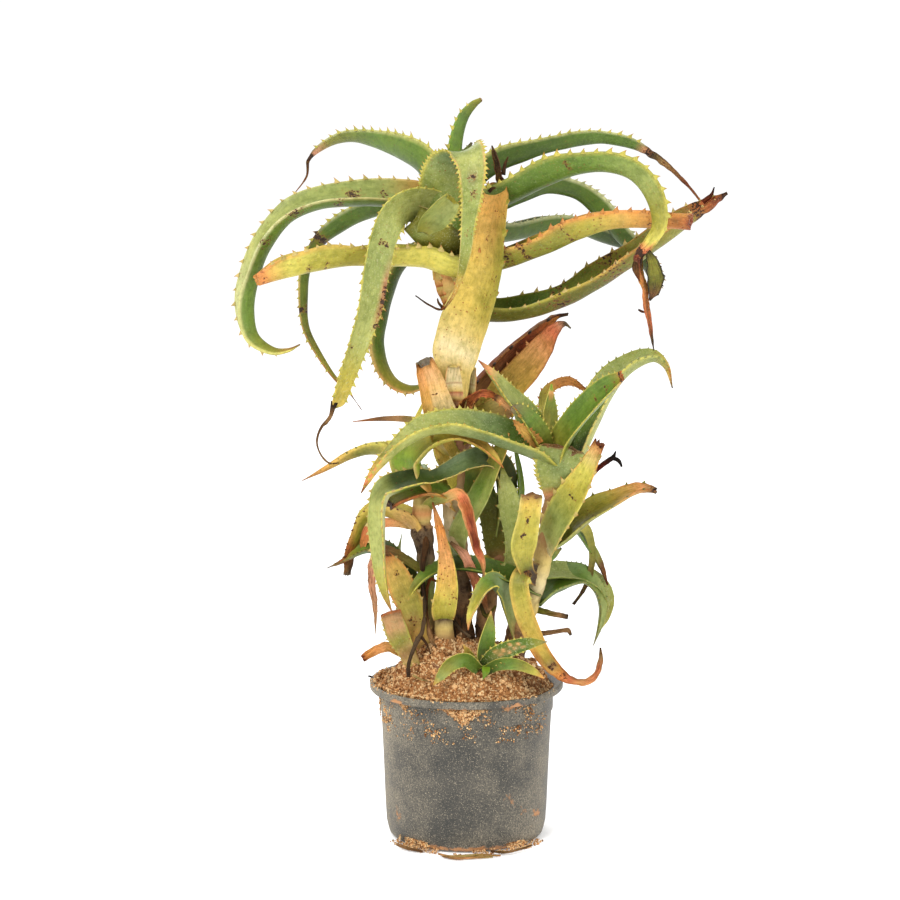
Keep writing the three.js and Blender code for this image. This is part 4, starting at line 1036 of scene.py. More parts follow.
collarLeaves = {
    "collar_leaf_cut_left": {
        "slot": "orange_leaf", "turn": 30, "channel": 0.3, "end": "cut", "rim": "grey", "hollow": 6,
        "teeth": (9, 0), "speck": 0.5, "dry": ((0, 0.1), (0.9, 0.25), (1, 0.8)),
        "path": ((-10, 398, -6, 14), (-23, 414, -18, 20), (-32, 440, -26, 18), (-38, 464, -30, 15),
                 (-45, 487, -33, 10.5)),
        "tones": "0 cream, 0.3 straw, 0.6 amber, 0.85 peach, 0.95 orange, 1 rust",
        "edge": "0 lemon, 0.4 gold, 1 orange", "edgeFrom": 0.6,
        "scars": ((0.62, 0.03, 0, 0.3, 0.6), (0.45, 0.02, 0.1, 0.3, 0.4), (0.97, 0.03, -1, 1, 0.6)),
        "marks": ((0.3, 0.5, 0, 1, "cream", 0.7),)},
    "collar_leaf_orange": {
        "slot": "orange_leaf", "turn": 35, "teeth": (14, 4), "toothTone": "peach", "toothed": (0.1, 0.6),
        "toothSides": "left", "speck": 0.5, "dry": ((0, 0.05), (0.5, 0.2), (0.75, 0.6), (0.85, 1), (1, 1)),
        "path": ((-7, 427, 6, 13), (18, 441, 14, 18), (42, 458, 18, 19), (62, 479, 18, 18),
                 (78, 500, 16, 14), (90, 519, 10, 7), (98, 523, 11, 2.5), (104, 519, 11, 1)),
        "tones": "0 yellowOlive, 0.25 yellow, 0.4 gold, 0.55 peach, 0.68 salmon, 0.78 pink, "
                 "0.86 greyBrown, 1 grey",
        "under": "0 yellowOlive, 0.25 yellowOlive, 0.42 gold, 0.6 peach, 0.74 peach, 0.84 greyBrown, "
                 "1 grey", "edge": "0 gold, 0.5 rust, 0.8 redBrown, 1 grey", "edgeFrom": 0.85},
    "collar_leaf_brown": {
        "slot": "dry_leaf", "turn": (-50, -45), "channel": 0.35, "teeth": (22, 5), "toothTone": "darkBrown",
        "speck": 0.4, "dry": ((0, 0.5), (0.7, 0.6), (0.85, 1), (1, 1)),
        "path": ((-9, 445, 6, 12), (12, 465, 16, 16), (36, 490, 26, 15), (56, 508, 34, 12.5),
                 (76, 524, 42, 9), (90, 532, 47, 4), (101, 534, 51, 2)),
        "tones": "0 tan, 0.2 brown, 0.5 redBrown, 0.7 rust, 0.84 orange, 0.88 darkBrown, 1 greyBrown",
        "under": "0 tan, 0.2 rust, 0.5 rust, 0.75 orange, 0.86 darkBrown, 1 greyBrown",
        "edge": "0 redBrown, 0.5 orange, 0.8 darkRed, 1 darkBrown", "edgeFrom": 0.75},
}

rightLeaves = {
    "right_heart_leaf": {
        "slot": "green_leaf", "turn": -30, "teeth": (5.5, 2.6), "speck": 0.3,
        "path": ((84, 391, 0, 8), (83, 414, -4, 9.5), (83, 435, -6, 8.5), (84, 450, -6, 4.5),
                 (85, 463, -5, 1)),
        "tones": "0 straw, 0.25 yellowOlive, 0.5 olive, 0.75 leafGreen, 0.84 peach, 0.9 brightGreen, "
                 "1 brightGreen", "edge": "0 peach, 0.6 lemon, 1 lemon", "edgeFrom": 0.85,
        "marks": ((0.35, 0.25, 0.2, 1, "deepGreen", 0.5), (0.76, 0.06, -0.4, 0.5, "orange", 0.6))},
    "right_leaf_cup": {
        "slot": "grey_green_leaf", "end": "cut", "rim": "brown", "hollow": 6, "jag": 3.5, "teeth": (5.6, 5),
        "toothed": (0.2, 0.97), "speck": 0.2,
        "path": ((89, 347, -4, 10), (90, 363, -16, 16), (92, 380, -24, 23), (96, 399, -28, 23)),
        "tones": "0 pink, 0.14 peach, 0.28 paleGreen, 0.55 greyGreen, 0.96 greyGreen, 1 tan",
        "under": "0 pink, 0.14 peach, 0.28 paleGreen, 0.55 greyGreen, 0.8 blueGreen, 0.97 greyGreen, 1 tan",
        "edge": "0 pink, 0.4 lemon, 1 lemon", "edgeFrom": 0.93,
        "marks": ((0.62, 0.2, -0.2, 0.5, "blueGreen", 0.4),)},
    "right_leaf_upper_left": {
        "slot": "grey_green_leaf", "turn": -45, "view": (56, 60), "channel": 0.5, "teeth": (6.6, 3),
        "speck": 0.15,
        "path": ((83, 396, -4, 11), (74, 416, -14, 14.5), (59, 439, -26, 13.5), (42, 457, -37, 9.5),
                 (26, 474, -46, 5), (12, 487, -52, 0.7)),
        "tones": "0 olive, 0.2 leafGreen, 0.4 greyGreen, 0.7 paleGreen, 0.86 peach, 1 redBrown",
        "under": "0 olive, 0.25 olive, 0.5 greyGreen, 0.8 paleGreen, 1 redBrown",
        "edge": "0 lemon, 0.6 lemon, 0.85 salmon, 1 redBrown", "edgeFrom": 0.92},
    "right_leaf_arching": {
        "slot": "grey_green_leaf", "turn": (15, -35), "view": (70, 72, 72, 74, 74), "channel": 0.8,
        "wider": 1, "teeth": (8.2, 4), "speck": 0.2, "dry": ((0, 0), (0.9, 0), (1, 0.8)),
        "path": ((86, 388, -6, 12), (69, 400, -20, 14), (44, 410, -34, 13.5), (14, 420, -48, 13),
                 (-16, 425, -60, 12), (-46, 419, -70, 10), (-71, 401, -77, 7.5), (-90, 380, -81, 5),
                 (-99, 365, -83, 3), (-106, 352, -84, 0.6)),
        "tones": "0 greyGreen, 0.2 leafGreen, 0.4 greyGreen, 0.6 paleGreen, 0.72 olive, 0.84 gold, "
                 "0.93 salmon, 1 redBrown",
        "under": "0 greyGreen, 0.3 blueGreen, 0.5 paleGreen, 0.7 paleGreen, 0.86 gold, 1 redBrown",
        "edge": "0 lemon, 0.6 lemon, 0.85 salmon, 1 redBrown", "edgeFrom": 0.92,
        "marks": ((0.28, 0.08, 0, 1, "blueGreen", 0.6), (0.5, 0.2, -0.5, 0, "greyGreen", 0.4))},
    "right_leaf_blunt": {
        "slot": "green_leaf", "turn": 40, "view": 56, "channel": 0.55, "end": "torn", "rim": "rust",
        "jag": 3, "teeth": (6.5, 2.6), "speck": 0.25,
        "path": ((87, 383, -8, 11), (96, 408, -20, 13), (112, 431, -32, 12.5), (129, 449, -42, 11),
                 (144, 462, -50, 9), (156, 471, -55, 5)),
        "tones": "0 yellowOlive, 0.15 olive, 0.35 leafGreen, 0.8 leafGreen, 0.93 olive, 1 orange",
        "under": "0 olive, 0.35 leafGreen, 0.8 greyGreen, 1 orange", "edge": "0 lemon, 0.9 lemon, 1 rust",
        "edgeFrom": 0.93,
        "scars": ((0.6, 0.015, -0.5, 0.2, 0.7), (0.74, 0.015, -0.4, 0.2, 0.75),
                  (0.86, 0.02, -0.2, 0.6, 0.7), (0.98, 0.03, -1, 1, 0.8))},
    "right_leaf_outer": {
        "slot": "grey_green_leaf", "turn": (-40, 30), "view": (60, 66, 76, 80), "channel": 0.6,
        "teeth": (8.5, 2.6), "toothTone": "greyGreen", "speck": 0.45,
        "path": ((90, 370, 3, 12), (104, 394, 10, 14), (119, 426, 18, 12.5), (134, 454, 26, 11),
                 (151, 476, 34, 9.5), (174, 490, 42, 7.5), (189, 491, 47, 5.5), (200, 481, 51, 3.3),
                 (206, 459, 54, 0.6)),
        "tones": "0 darkGreen, 0.3 leafGreen, 0.45 greyGreen, 0.7 greyGreen, 0.82 yellowOlive, 0.93 gold, "
                 "1 blackBrown",
        "under": "0 paleGreen, 0.4 paleGreen, 0.7 greyGreen, 0.84 yellowOlive, 0.94 gold, 1 blackBrown",
        "edge": "0 straw, 0.5 lemon, 0.8 paleGreen, 0.9 rust, 1 blackBrown", "edgeFrom": 0.93},
    "right_leaf_yellow_down": {
        "slot": "yellow_leaf", "turn": -20, "teeth": (17, 5), "toothed": (0.1, 0.35), "toothSides": "left",
        "speck": 0.5, "dry": ((0, 0.2), (0.2, 0), (0.5, 0), (0.62, 0.6), (0.7, 1), (1, 1)),
        "path": ((75, 272, -3, 6), (62, 275, -20, 8), (54, 263, -30, 10), (56, 242, -35, 10.5),
                 (64, 216, -39, 10), (76, 190, -43, 9.5), (90, 172, -46, 8), (105, 161, -47, 5),
                 (120, 158, -46, 4), (131, 165, -44, 3.8), (136, 180, -42, 3.4), (136, 193, -40, 1.2)),
        "tones": "0 darkBrown, 0.1 darkBrown, 0.17 olive, 0.25 yellowOlive, 0.4 yellow, 0.52 yellow, "
                 "0.58 orange, 0.64 salmon, 0.7 peach, 0.85 salmon, 0.93 tan, 1 darkBrown",
        "edge": "0 brown, 0.2 yellow, 0.4 gold, 0.5 orange, 0.62 rust, 0.75 peach, 1 darkBrown",
        "edgeFrom": 0.45,
        "scars": ((0.53, 0.02, -0.5, 0.5, 0.6), (0.12, 0.025, -1, 0.6, 0.9), (0.4, 0.06, 0.5, 1, 0.4),
                  (0.6, 0.03, -1, 1, 0.55), (0.97, 0.03, -1, 1, 0.7)),
        "marks": ((0.53, 0.02, -0.5, 0.4, "purple", 0.6), (0.47, 0.04, 0.4, 1, "rust", 0.6))},
    "right_leaf_yellow_up": {
        "slot": "yellow_leaf", "turn": 20, "end": "cut", "rim": "brown", "jag": 3, "teeth": (12, 2.5),
        "toothed": (0.75, 0.97), "toothSides": "left", "speck": 0.6,
        "path": ((74, 261, -3, 6), (63, 269, -18, 7), (58, 283, -30, 10), (57, 300, -37, 14),
                 (61, 324, -41, 12.5), (65, 351, -43, 11)),
        "tones": "0 darkBrown, 0.22 darkBrown, 0.32 olive, 0.5 yellowOlive, 0.8 yellowOlive, 0.93 yellow, "
                 "1 brown", "edge": "0 brown, 0.3 gold, 0.6 lemon, 1 straw", "edgeFrom": 0.7,
        "scars": ((0.8, 0.045, -0.1, 0.1, 1), (0.68, 0.03, -0.2, 0.02, 0.95), (0.97, 0.02, -1, 1, 0.5))},
    "right_leaf_broad": {
        "slot": "yellow_leaf", "turn": 45, "end": "torn", "rim": "redBrown", "jag": 6, "teeth": (15, 5.5),
        "toothTone": "straw", "speck": 0.45, "dry": ((0, 0), (0.75, 0), (1, 0.8)),
        "path": ((80, 294, -5, 12), (88, 315, -17, 18), (100, 337, -26, 18), (114, 360, -33, 15),
                 (126, 384, -38, 10.5), (135, 403, -41, 7.5)),
        "tones": "0 cream, 0.12 paleGreen, 0.3 greyGreen, 0.55 yellowOlive, 0.72 lemon, 0.82 straw, "
                 "0.95 peach, 1 rust", "edge": "0 straw, 0.5 lemon, 0.7 gold, 0.9 orange, 1 rust",
        "edgeFrom": 0.8, "scars": ((0.5, 0.01, -0.2, 0.3, 0.9), (0.95, 0.04, -1, 1, 0.4))},
    "right_leaf_olive": {
        "slot": "olive_leaf", "turn": 50, "view": (62, 66), "channel": 0.5, "end": "torn", "jag": 3.5,
        "teeth": (17, 3.4), "toothTone": "olive", "speck": 0.45,
        "dry": ((0, 0), (0.7, 0.1), (0.88, 0.8), (1, 1)),
        "path": ((81, 296, 1, 11), (100, 311, 7, 13), (124, 332, 13, 13), (149, 346, 18, 10),
                 (174, 357, 22, 7), (191, 355, 24, 4)),
        "tones": "0 straw, 0.1 greyGreen, 0.3 olive, 0.55 yellowOlive, 0.7 gold, 0.82 peach, 0.94 tan, "
                 "1 brown", "edge": "0 greyGreen, 0.5 yellowOlive, 0.7 orange, 1 rust", "edgeFrom": 0.75,
        "scars": ((0.4, 0.05, -0.5, 0.5, 0.3), (0.95, 0.04, -1, 1, 0.6))},
    "low_leaf_right_wide": {
        "slot": "dark_green_leaf", "turn": (30, 0), "view": (56, 60, 60), "channel": 0.5,
        "teeth": (5.5, 2.4), "toothTone": "leafGreen",
        "path": ((69, 240, 6, 8), (84, 259, 18, 13), (102, 268, 32, 11), (119, 269, 45, 8),
                 (132, 257, 54, 6), (138, 237, 60, 4.4), (136, 217, 64, 2.8), (129, 195, 67, 0.5)),
        "tones": "0 leafGreen, 0.2 deepGreen, 0.45 leafGreen, 0.6 greyGreen, 0.85 greyGreen, 1 greyBrown",
        "edge": "0 greyGreen, 0.5 olive, 1 olive", "edgeFrom": 0.9,
        "marks": ((0.25, 0.16, -1, -0.2, "blueGreen", 0.5),)},
    "low_leaf_right_narrow": {
        "slot": "grey_green_leaf", "view": 60, "channel": 0.5, "teeth": (10, 1.6), "toothTone": "straw",
        "path": ((75, 271, 8, 6), (96, 273, 30, 7.5), (120, 270, 52, 7), (137, 259, 66, 6),
                 (145, 241, 73, 5), (142, 224, 76, 3.5), (135, 210, 78, 0.6)),
        "tones": "0 greyGreen, 0.5 greyGreen, 0.75 olive, 1 yellowOlive"},
    "low_leaf_right_thin": {
        "slot": "olive_leaf", "view": 60, "channel": 0.5, "teeth": (9, 1.4), "toothTone": "rust",
        "dry": ((0, 0), (0.7, 0), (0.85, 0.7), (1, 1)),
        "path": ((82, 311, 4, 5), (97, 324, 22, 6), (112, 319, 40, 6), (126, 297, 54, 4.2),
                 (136, 278, 63, 3), (143, 258, 69, 0.8)),
        "tones": "0 greyGreen, 0.3 leafGreen, 0.55 leafGreen, 0.72 olive, 0.8 brown, 0.95 redBrown, "
                 "1 darkRed"},
}

middleLeaves = {
    "middle_leaf_slanting": {
        "slot": "yellow_leaf", "turn": 30, "teeth": (15, 2.6), "toothTone": "gold", "toothSides": "left",
        "speck": 0.25,
        "path": ((-8, 287, 4, 8), (-7, 311, -10, 11), (4, 332, -18, 11.5), (16, 355, -23, 11.5),
                 (27, 380, -26, 9), (36, 401, -27, 7), (41, 414, -26, 3)),
        "tones": "0 paleGreen, 0.3 greyGreen, 0.5 leafGreen, 0.7 olive, 0.86 yellowOlive, 0.95 yellow, "
                 "1 orange", "under": "0 paleGreen, 0.4 paleGreen, 0.7 greyGreen, 1 gold",
        "edge": "0 whiteGreen, 0.5 paleGreen, 0.75 gold, 1 orange", "edgeFrom": 0.8,
        "marks": ((0.35, 0.3, 0.2, 1, "paleGreen", 0.5),)},
    "middle_leaf_pale": {
        "slot": "grey_green_leaf", "turn": -10, "teeth": (12.5, 4.6), "toothTone": "paleGreen",
        "speck": 0.1,
        "path": ((34, 263, 12, 7), (47, 277, -2, 11), (50, 306, -9, 12), (45, 333, -12, 12),
                 (40, 356, -13, 9), (36, 378, -13, 2)),
        "tones": "0 paleGreen, 0.3 paleGreen, 0.55 greyGreen, 0.85 paleGreen, 1 olive",
        "edge": "0 lemon, 0.5 greyGreen, 1 darkOlive", "edgeFrom": 0.93},
    "middle_leaf_olive": {
        "slot": "olive_leaf", "turn": 20, "teeth": (8, 3), "toothTone": "darkOlive", "speck": 0.3,
        "path": ((31, 271, 16, 8), (30, 298, 8, 13), (25, 327, 4, 12.5), (18, 353, 3, 11),
                 (12, 376, 5, 8.5), (5, 394, 8, 3)),
        "tones": "0 pink, 0.1 tan, 0.2 darkOlive, 0.45 darkOlive, 0.7 leafGreen, 0.9 brightGreen, 1 olive",
        "edge": "0 tan, 0.3 darkOlive, 0.5 lemon, 0.8 leafGreen, 1 straw", "edgeFrom": 0.9},
    "middle_leaf_drooping": {
        "slot": "green_leaf", "turn": -40, "view": (50, 60), "channel": 0.5, "teeth": (7.5, 2.6),
        "path": ((55, 201, 2, 7), (47, 233, -14, 9.5), (39, 254, -26, 9.5), (27, 264, -36, 9),
                 (16, 256, -43, 7.5), (8, 239, -48, 5.5), (3, 224, -50, 3), (2, 211, -51, 0.5)),
        "tones": "0 tan, 0.12 greyGreen, 0.35 blueGreen, 0.5 leafGreen, 0.7 yellowOlive, 0.86 lemon, "
                 "0.95 peach, 1 rust",
        "under": "0 tan, 0.15 blueGreen, 0.4 blueGreen, 0.6 olive, 0.85 lemon, 1 rust",
        "edge": "0 paleGreen, 0.5 lemon, 0.9 peach, 1 rust", "edgeFrom": 0.88},
    "middle_leaf_crossing": {
        "slot": "dark_green_leaf", "turn": -30, "view": 62, "channel": 0.6, "teeth": (11, 2.2),
        "toothTone": "yellowOlive",
        "path": ((74, 254, 0, 7), (48, 268, -12, 9), (24, 276, -16, 8), (-4, 281, -18, 7.5),
                 (-26, 278, -20, 6.5), (-44, 267, -34, 5), (-54, 254, -40, 3.5), (-59, 242, -42, 0.5)),
        "tones": "0 darkGreen, 0.2 deepGreen, 0.5 darkGreen, 0.7 leafGreen, 0.84 olive, 0.95 yellowOlive, "
                 "1 gold", "edge": "0 greyGreen, 0.5 leafGreen, 0.9 lemon, 1 gold", "edgeFrom": 0.9},
}

leftLeaves = {
    "left_leaf_looping": {
        "slot": "green_leaf", "turn": (20, -20), "view": (50, 60, 64), "channel": 0.6, "teeth": (8, 2.2),
        "toothTone": "gold", "toothed": (0.4, 0.97), "speck": 0.4,
        "path": ((-43, 350, -20, 12), (-57, 369, -27, 16), (-61, 389, -30, 15), (-48, 404, -31, 13),
                 (-28, 412, -32, 9), (-6, 413, -34, 6), (14, 403, -38, 5), (28, 390, -43, 3),
                 (37, 378, -47, 0.5)),
        "tones": "0 gold, 0.1 yellowOlive, 0.2 brightGreen, 0.4 olive, 0.55 yellowOlive, 0.75 gold, "
                 "0.9 yellow, 1 rust",
        "under": "0 orange, 0.2 brightGreen, 0.4 yellowOlive, 0.55 lemon, 0.75 lemon, 1 rust",
        "edge": "0 orange, 0.2 straw, 0.5 lemon, 0.8 orange, 1 rust", "edgeFrom": 0.85},
    "left_leaf_hanging": {
        "slot": "dark_green_leaf", "turn": (20, -45), "view": (60, 50, 40, 62, 62, 50, 50), "channel": 0.55,
        "wider": 1, "teeth": (8.4, 3.3), "toothTone": "straw", "speck": 0.2,
        "path": ((34, 312, 16, 8), (40, 345, 6, 10), (38, 375, -4, 11), (24, 389, -16, 10),
                 (2, 386, -32, 9), (-21, 375, -44, 7.5), (-34, 370, -50, 6.5), (-46, 370, -54, 8),
                 (-69, 364, -62, 10), (-85, 356, -67, 10.5), (-91, 338, -70, 10), (-91, 309, -71, 9.5),
                 (-89, 278, -70, 8), (-83, 250, -68, 5), (-75, 229, -66, 0.8)),
        "tones": "0 darkOlive, 0.2 darkGreen, 0.3 blueGreen, 0.4 darkGreen, 0.58 darkGreen, "
                 "0.62 greyGreen, 0.72 paleGreen, 0.85 paleGreen, 0.92 yellowOlive, 1 rust",
        "under": "0 darkOlive, 0.3 darkGreen, 0.58 deepGreen, 0.64 whiteGreen, 0.75 whiteGreen, "
                 "0.9 yellowOlive, 1 rust", "edge": "0 greyGreen, 0.3 straw, 0.6 lemon, 0.9 lemon, 1 rust",
        "edgeFrom": 0.9},
    "left_leaf_ridged": {
        "slot": "olive_leaf", "turn": -20, "view": (56, 60), "channel": 0.5, "end": "torn",
        "teeth": (9, 2.6), "toothTone": "orange", "speck": 0.5,
        "path": ((-10, 347, 2, 9), (-19, 358, -18, 11), (-36, 361, -30, 9.5), (-56, 357, -38, 9.5),
                 (-70, 351, -43, 9.5), (-80, 342, -46, 7.5)),
        "tones": "0 paleGreen, 0.2 leafGreen, 0.5 leafGreen, 0.8 olive, 1 olive",
        "edge": "0 gold, 0.3 orange, 0.6 rust, 1 rust", "edgeFrom": 0.3,
        "scars": ((0.6, 0.06, -1, 1, 0.4), (0.97, 0.05, -1, 1, 0.6)),
        "marks": ((0.3, 0.15, -1, -0.2, "yellowOlive", 0.5),)},
    "left_leaf_long": {
        "slot": "green_leaf", "turn": 30, "view": 92, "channel": 0.6, "teeth": (11, 2.2),
        "toothTone": "olive", "speck": 0.6,
        "path": ((-42, 357, -10, 9), (-58, 381, -2, 9), (-76, 395, 4, 8), (-96, 397, 10, 6.5),
                 (-116, 391, 15, 5), (-138, 379, 19, 3), (-165, 365, 23, 0.5)),
        "tones": "0 orange, 0.12 salmon, 0.25 gold, 0.4 yellowOlive, 0.6 olive, 0.78 gold, 0.92 orange, "
                 "1 brown", "edge": "0 rust, 0.4 lemon, 0.8 gold, 1 rust", "edgeFrom": 0.85},
    "left_leaf_orange_tip": {
        "slot": "orange_leaf", "turn": -20, "roll": 1.6, "teeth": (7, 2.4), "toothTone": "peach",
        "toothed": (0.1, 0.5), "speck": 0.4, "dry": ((0, 0), (0.35, 0.1), (0.5, 0.7), (1, 1)),
        "path": ((-43, 334, -16, 7), (-35, 344, -28, 7), (-21, 348, -38, 6.5), (-8, 352, -46, 6.5),
                 (0, 341, -51, 7), (6, 319, -53, 6), (12, 295, -54, 5), (17, 280, -54, 3),
                 (18, 266, -53, 0.8)),
        "tones": "0 olive, 0.2 paleGreen, 0.36 peach, 0.44 salmon, 0.52 rust, 0.62 salmon, 0.72 darkRed, "
                 "0.8 salmon, 0.9 peach, 1 tan",
        "under": "0 olive, 0.25 paleGreen, 0.4 peach, 0.7 peach, 0.9 peach, 1 tan",
        "edge": "0 greyGreen, 0.3 peach, 0.8 peach, 1 tan", "edgeFrom": 0.55,
        "marks": ((0.6, 0.04, -0.4, 0.4, "darkRed", 0.7), (0.68, 0.03, -0.3, 0.5, "redBrown", 0.8))},
    "left_leaf_low": {
        "slot": "orange_leaf", "turn": 40, "view": 92, "channel": 0.5, "end": "torn", "rim": "grey",
        "teeth": (8, 2.4), "toothTone": "brown", "speck": 0.5,
        "dry": ((0, 0), (0.75, 0.1), (0.9, 1), (1, 1)),
        "path": ((-45, 311, -14, 8), (-56, 325, -6, 10), (-71, 332, 2, 9), (-88, 335, 10, 8.5),
                 (-101, 327, 15, 8), (-109, 309, 18, 8), (-116, 291, 20, 7), (-120, 269, 21, 4.5)),
        "tones": "0 paleGreen, 0.15 straw, 0.35 yellowOlive, 0.55 yellowOlive, 0.72 olive, 0.82 rust, "
                 "0.94 brown, 1 greyBrown", "edge": "0 lemon, 0.6 yellow, 0.8 rust, 1 brown",
        "edgeFrom": 0.8, "marks": ((0.1, 0.2, -1, -0.2, "peach", 0.6),)},
    "left_leaf_dark": {
        "slot": "dark_green_leaf", "turn": (-20, 20), "view": (66, 70), "channel": 0.5, "teeth": (5, 2.4),
        "toothTone": "darkOlive", "dry": ((0, 0), (0.75, 0), (0.9, 1), (1, 1)),
        "path": ((-42, 230, -12, 6), (-57, 262, -10, 8.5), (-70, 281, -6, 8), (-82, 293, -2, 7),
                 (-98, 297, 4, 5.5), (-114, 291, 9, 4), (-126, 282, 12, 2), (-141, 275, 15, 0.4)),
        "tones": "0 olive, 0.2 darkGreen, 0.5 darkGreen, 0.62 leafGreen, 0.74 olive, 0.86 rust, 0.93 tan, "
                 "1 grey", "edge": "0 olive, 0.5 darkOlive, 0.8 olive, 1 grey", "edgeFrom": 0.9},
}

frontLeaves = {
    "front_leaf_tall": {
        "slot": "yellow_leaf", "channel": 0.45, "teeth": (24, 3.4), "toothTone": "straw",
        "toothSides": "left", "speck": 1, "dry": ((0, 0.1), (0.5, 0.1), (0.8, 0.5), (1, 0.8)),
        "path": ((-23, 224, -30, 10), (-23, 231, -34, 12), (-22, 239, -36, 12.5), (-20, 254, -37, 11.5),
                 (-20, 278, -38, 9), (-24, 303, -39, 5.5), (-29, 325, -39, 4), (-34, 343, -39, 1)),
        "tones": "0 olive, 0.1 yellowOlive, 0.3 yellowOlive, 0.4 yellow, 0.5 gold, 0.64 peach, "
                 "0.78 orange, 0.9 peach, 1 rust", "edge": "0 tan, 0.2 yellow, 0.5 lemon, 0.7 gold, 1 rust",
        "edgeFrom": 0.8,
        "scars": ((0.28, 0.03, 0, 0.5, 0.5), (0.36, 0.02, 0.6, 0.9, 0.6), (0.8, 0.05, 0.2, 1, 0.5),
                  (0.26, 0.02, -1, 0.4, 0.4))},
    "sucker_leaf_cut": {
        "slot": "olive_leaf", "channel": 0.3, "end": "cut", "rim": "rust", "hollow": 1, "teeth": (5.2, 2.6),
        "toothTone": "straw", "toothSides": "left", "speck": 0.7,
        "path": ((-52, 172, -36, 7.5), (-62, 192, -43, 9.5), (-71, 210, -47, 11.5), (-77, 230, -49, 10.5)),
        "tones": "0 straw, 0.25 tan, 0.5 olive, 0.72 tan, 0.9 tan, 0.97 brown, 1 rust", "under": "same",
        "edge": "0 tan, 0.5 yellowOlive, 0.8 olive, 1 rust", "edgeFrom": 0.75,
        "marks": ((0.5, 0.3, -0.2, 0.3, "olive", 0.2),)},
    "sucker_leaf_speckled": {
        "slot": "yellow_leaf", "turn": 10, "channel": 0.4, "teeth": (8, 3), "toothTone": "straw",
        "speck": 1,
        "path": ((-41, 188, -20, 8), (-48, 211, -24, 11), (-56, 234, -27, 13), (-66, 257, -29, 14),
                 (-75, 278, -30, 10), (-81, 290, -30, 4)),
        "tones": "0 tan, 0.2 gold, 0.38 yellowOlive, 0.6 yellow, 0.8 gold, 0.92 orange, 1 rust",
        "edge": "0 pink, 0.4 orange, 0.8 orange, 1 rust", "edgeFrom": 0.7,
        "scars": ((0.72, 0.03, -0.1, 0.15, 0.85), (0.3, 0.06, -0.6, 0.4, 0.4), (0.5, 0.03, -0.8, 0, 0.4)),
        "marks": ((0.4, 0.3, 0.1, 1, "yellowOlive", 0.5), (0.28, 0.1, -1, 0.2, "tan", 0.4))},
    "pup_leaf_upright": {
        "slot": "green_leaf", "turn": -30, "channel": 0.45, "teeth": (5.5, 1.8), "speck": 0.2,
        "path": ((15, 171, -50, 6), (18, 192, -54, 9.5), (22, 212, -55, 7), (25, 231, -53, 0.6)),
        "tones": "0 olive, 0.3 deepGreen, 0.6 leafGreen, 0.9 olive, 1 peach",
        "edge": "0 straw, 0.8 lemon, 1 peach", "edgeFrom": 0.9},
    "pup_leaf_right": {
        "slot": "grey_green_leaf", "turn": 20, "channel": 0.45, "teeth": (6.2, 2.4), "speck": 0.2,
        "path": ((16, 171, -54, 6), (29, 184, -64, 8.5), (46, 192, -70, 8.5), (64, 197, -73, 6),
                 (82, 199, -75, 0.6)),
        "tones": "0 darkGreen, 0.3 deepGreen, 0.7 deepGreen, 0.9 olive, 1 greyBrown",
        "edge": "0 straw, 1 lemon", "edgeFrom": 0.93,
        "marks": ((0.4, 0.2, -0.3, 0.4, "pink", 0.15), (0.3, 0.02, -0.5, -0.34, "peach", 1),
                  (0.34, 0.02, 0.1, 0.26, "peach", 1), (0.4, 0.02, -0.2, -0.04, "peach", 1),
                  (0.46, 0.02, 0.3, 0.46, "peach", 1), (0.5, 0.02, -0.55, -0.39, "peach", 1),
                  (0.55, 0.02, 0, 0.16, "peach", 1), (0.6, 0.02, -0.4, -0.24, "peach", 1),
                  (0.66, 0.02, 0.2, 0.36, "peach", 1))},
    "pup_leaf_left": {
        "slot": "green_leaf", "turn": -10, "channel": 0.45, "teeth": (6, 2), "speck": 0.2,
        "path": ((13, 170, -58, 6), (-1, 181, -68, 8.5), (-16, 176, -76, 7.5), (-26, 164, -80, 5),
                 (-34, 153, -81, 0.6)),
        "tones": "0 deepGreen, 0.3 leafGreen, 0.6 olive, 0.8 greyGreen, 0.95 gold, 1 rust",
        "edge": "0 straw, 0.5 lemon, 1 rust", "edgeFrom": 0.9},
    "pup_leaf_right_low": {
        "slot": "green_leaf", "turn": -10, "channel": 0.45, "teeth": (8, 1.4), "toothTone": "straw",
        "speck": 0.3,
        "path": ((17, 168, -58, 5), (34, 176, -70, 6.5), (52, 176, -76, 6), (68, 169, -79, 4),
                 (79, 161, -80, 0.6)),
        "tones": "0 darkGreen, 0.4 leafGreen, 0.6 olive, 0.8 yellowOlive, 1 orange",
        "edge": "0 olive, 0.6 lemon, 1 orange", "edgeFrom": 0.88},
}

for group in (crownLeaves, collarLeaves, rightLeaves, middleLeaves, leftLeaves, frontLeaves):
    for node, leaf in group.items():
        piece = makeLeaf(camel(node), leaf, leaf["slot"])
        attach(piece, "root")
        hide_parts(node)
print("main leaves made:", leafCount)


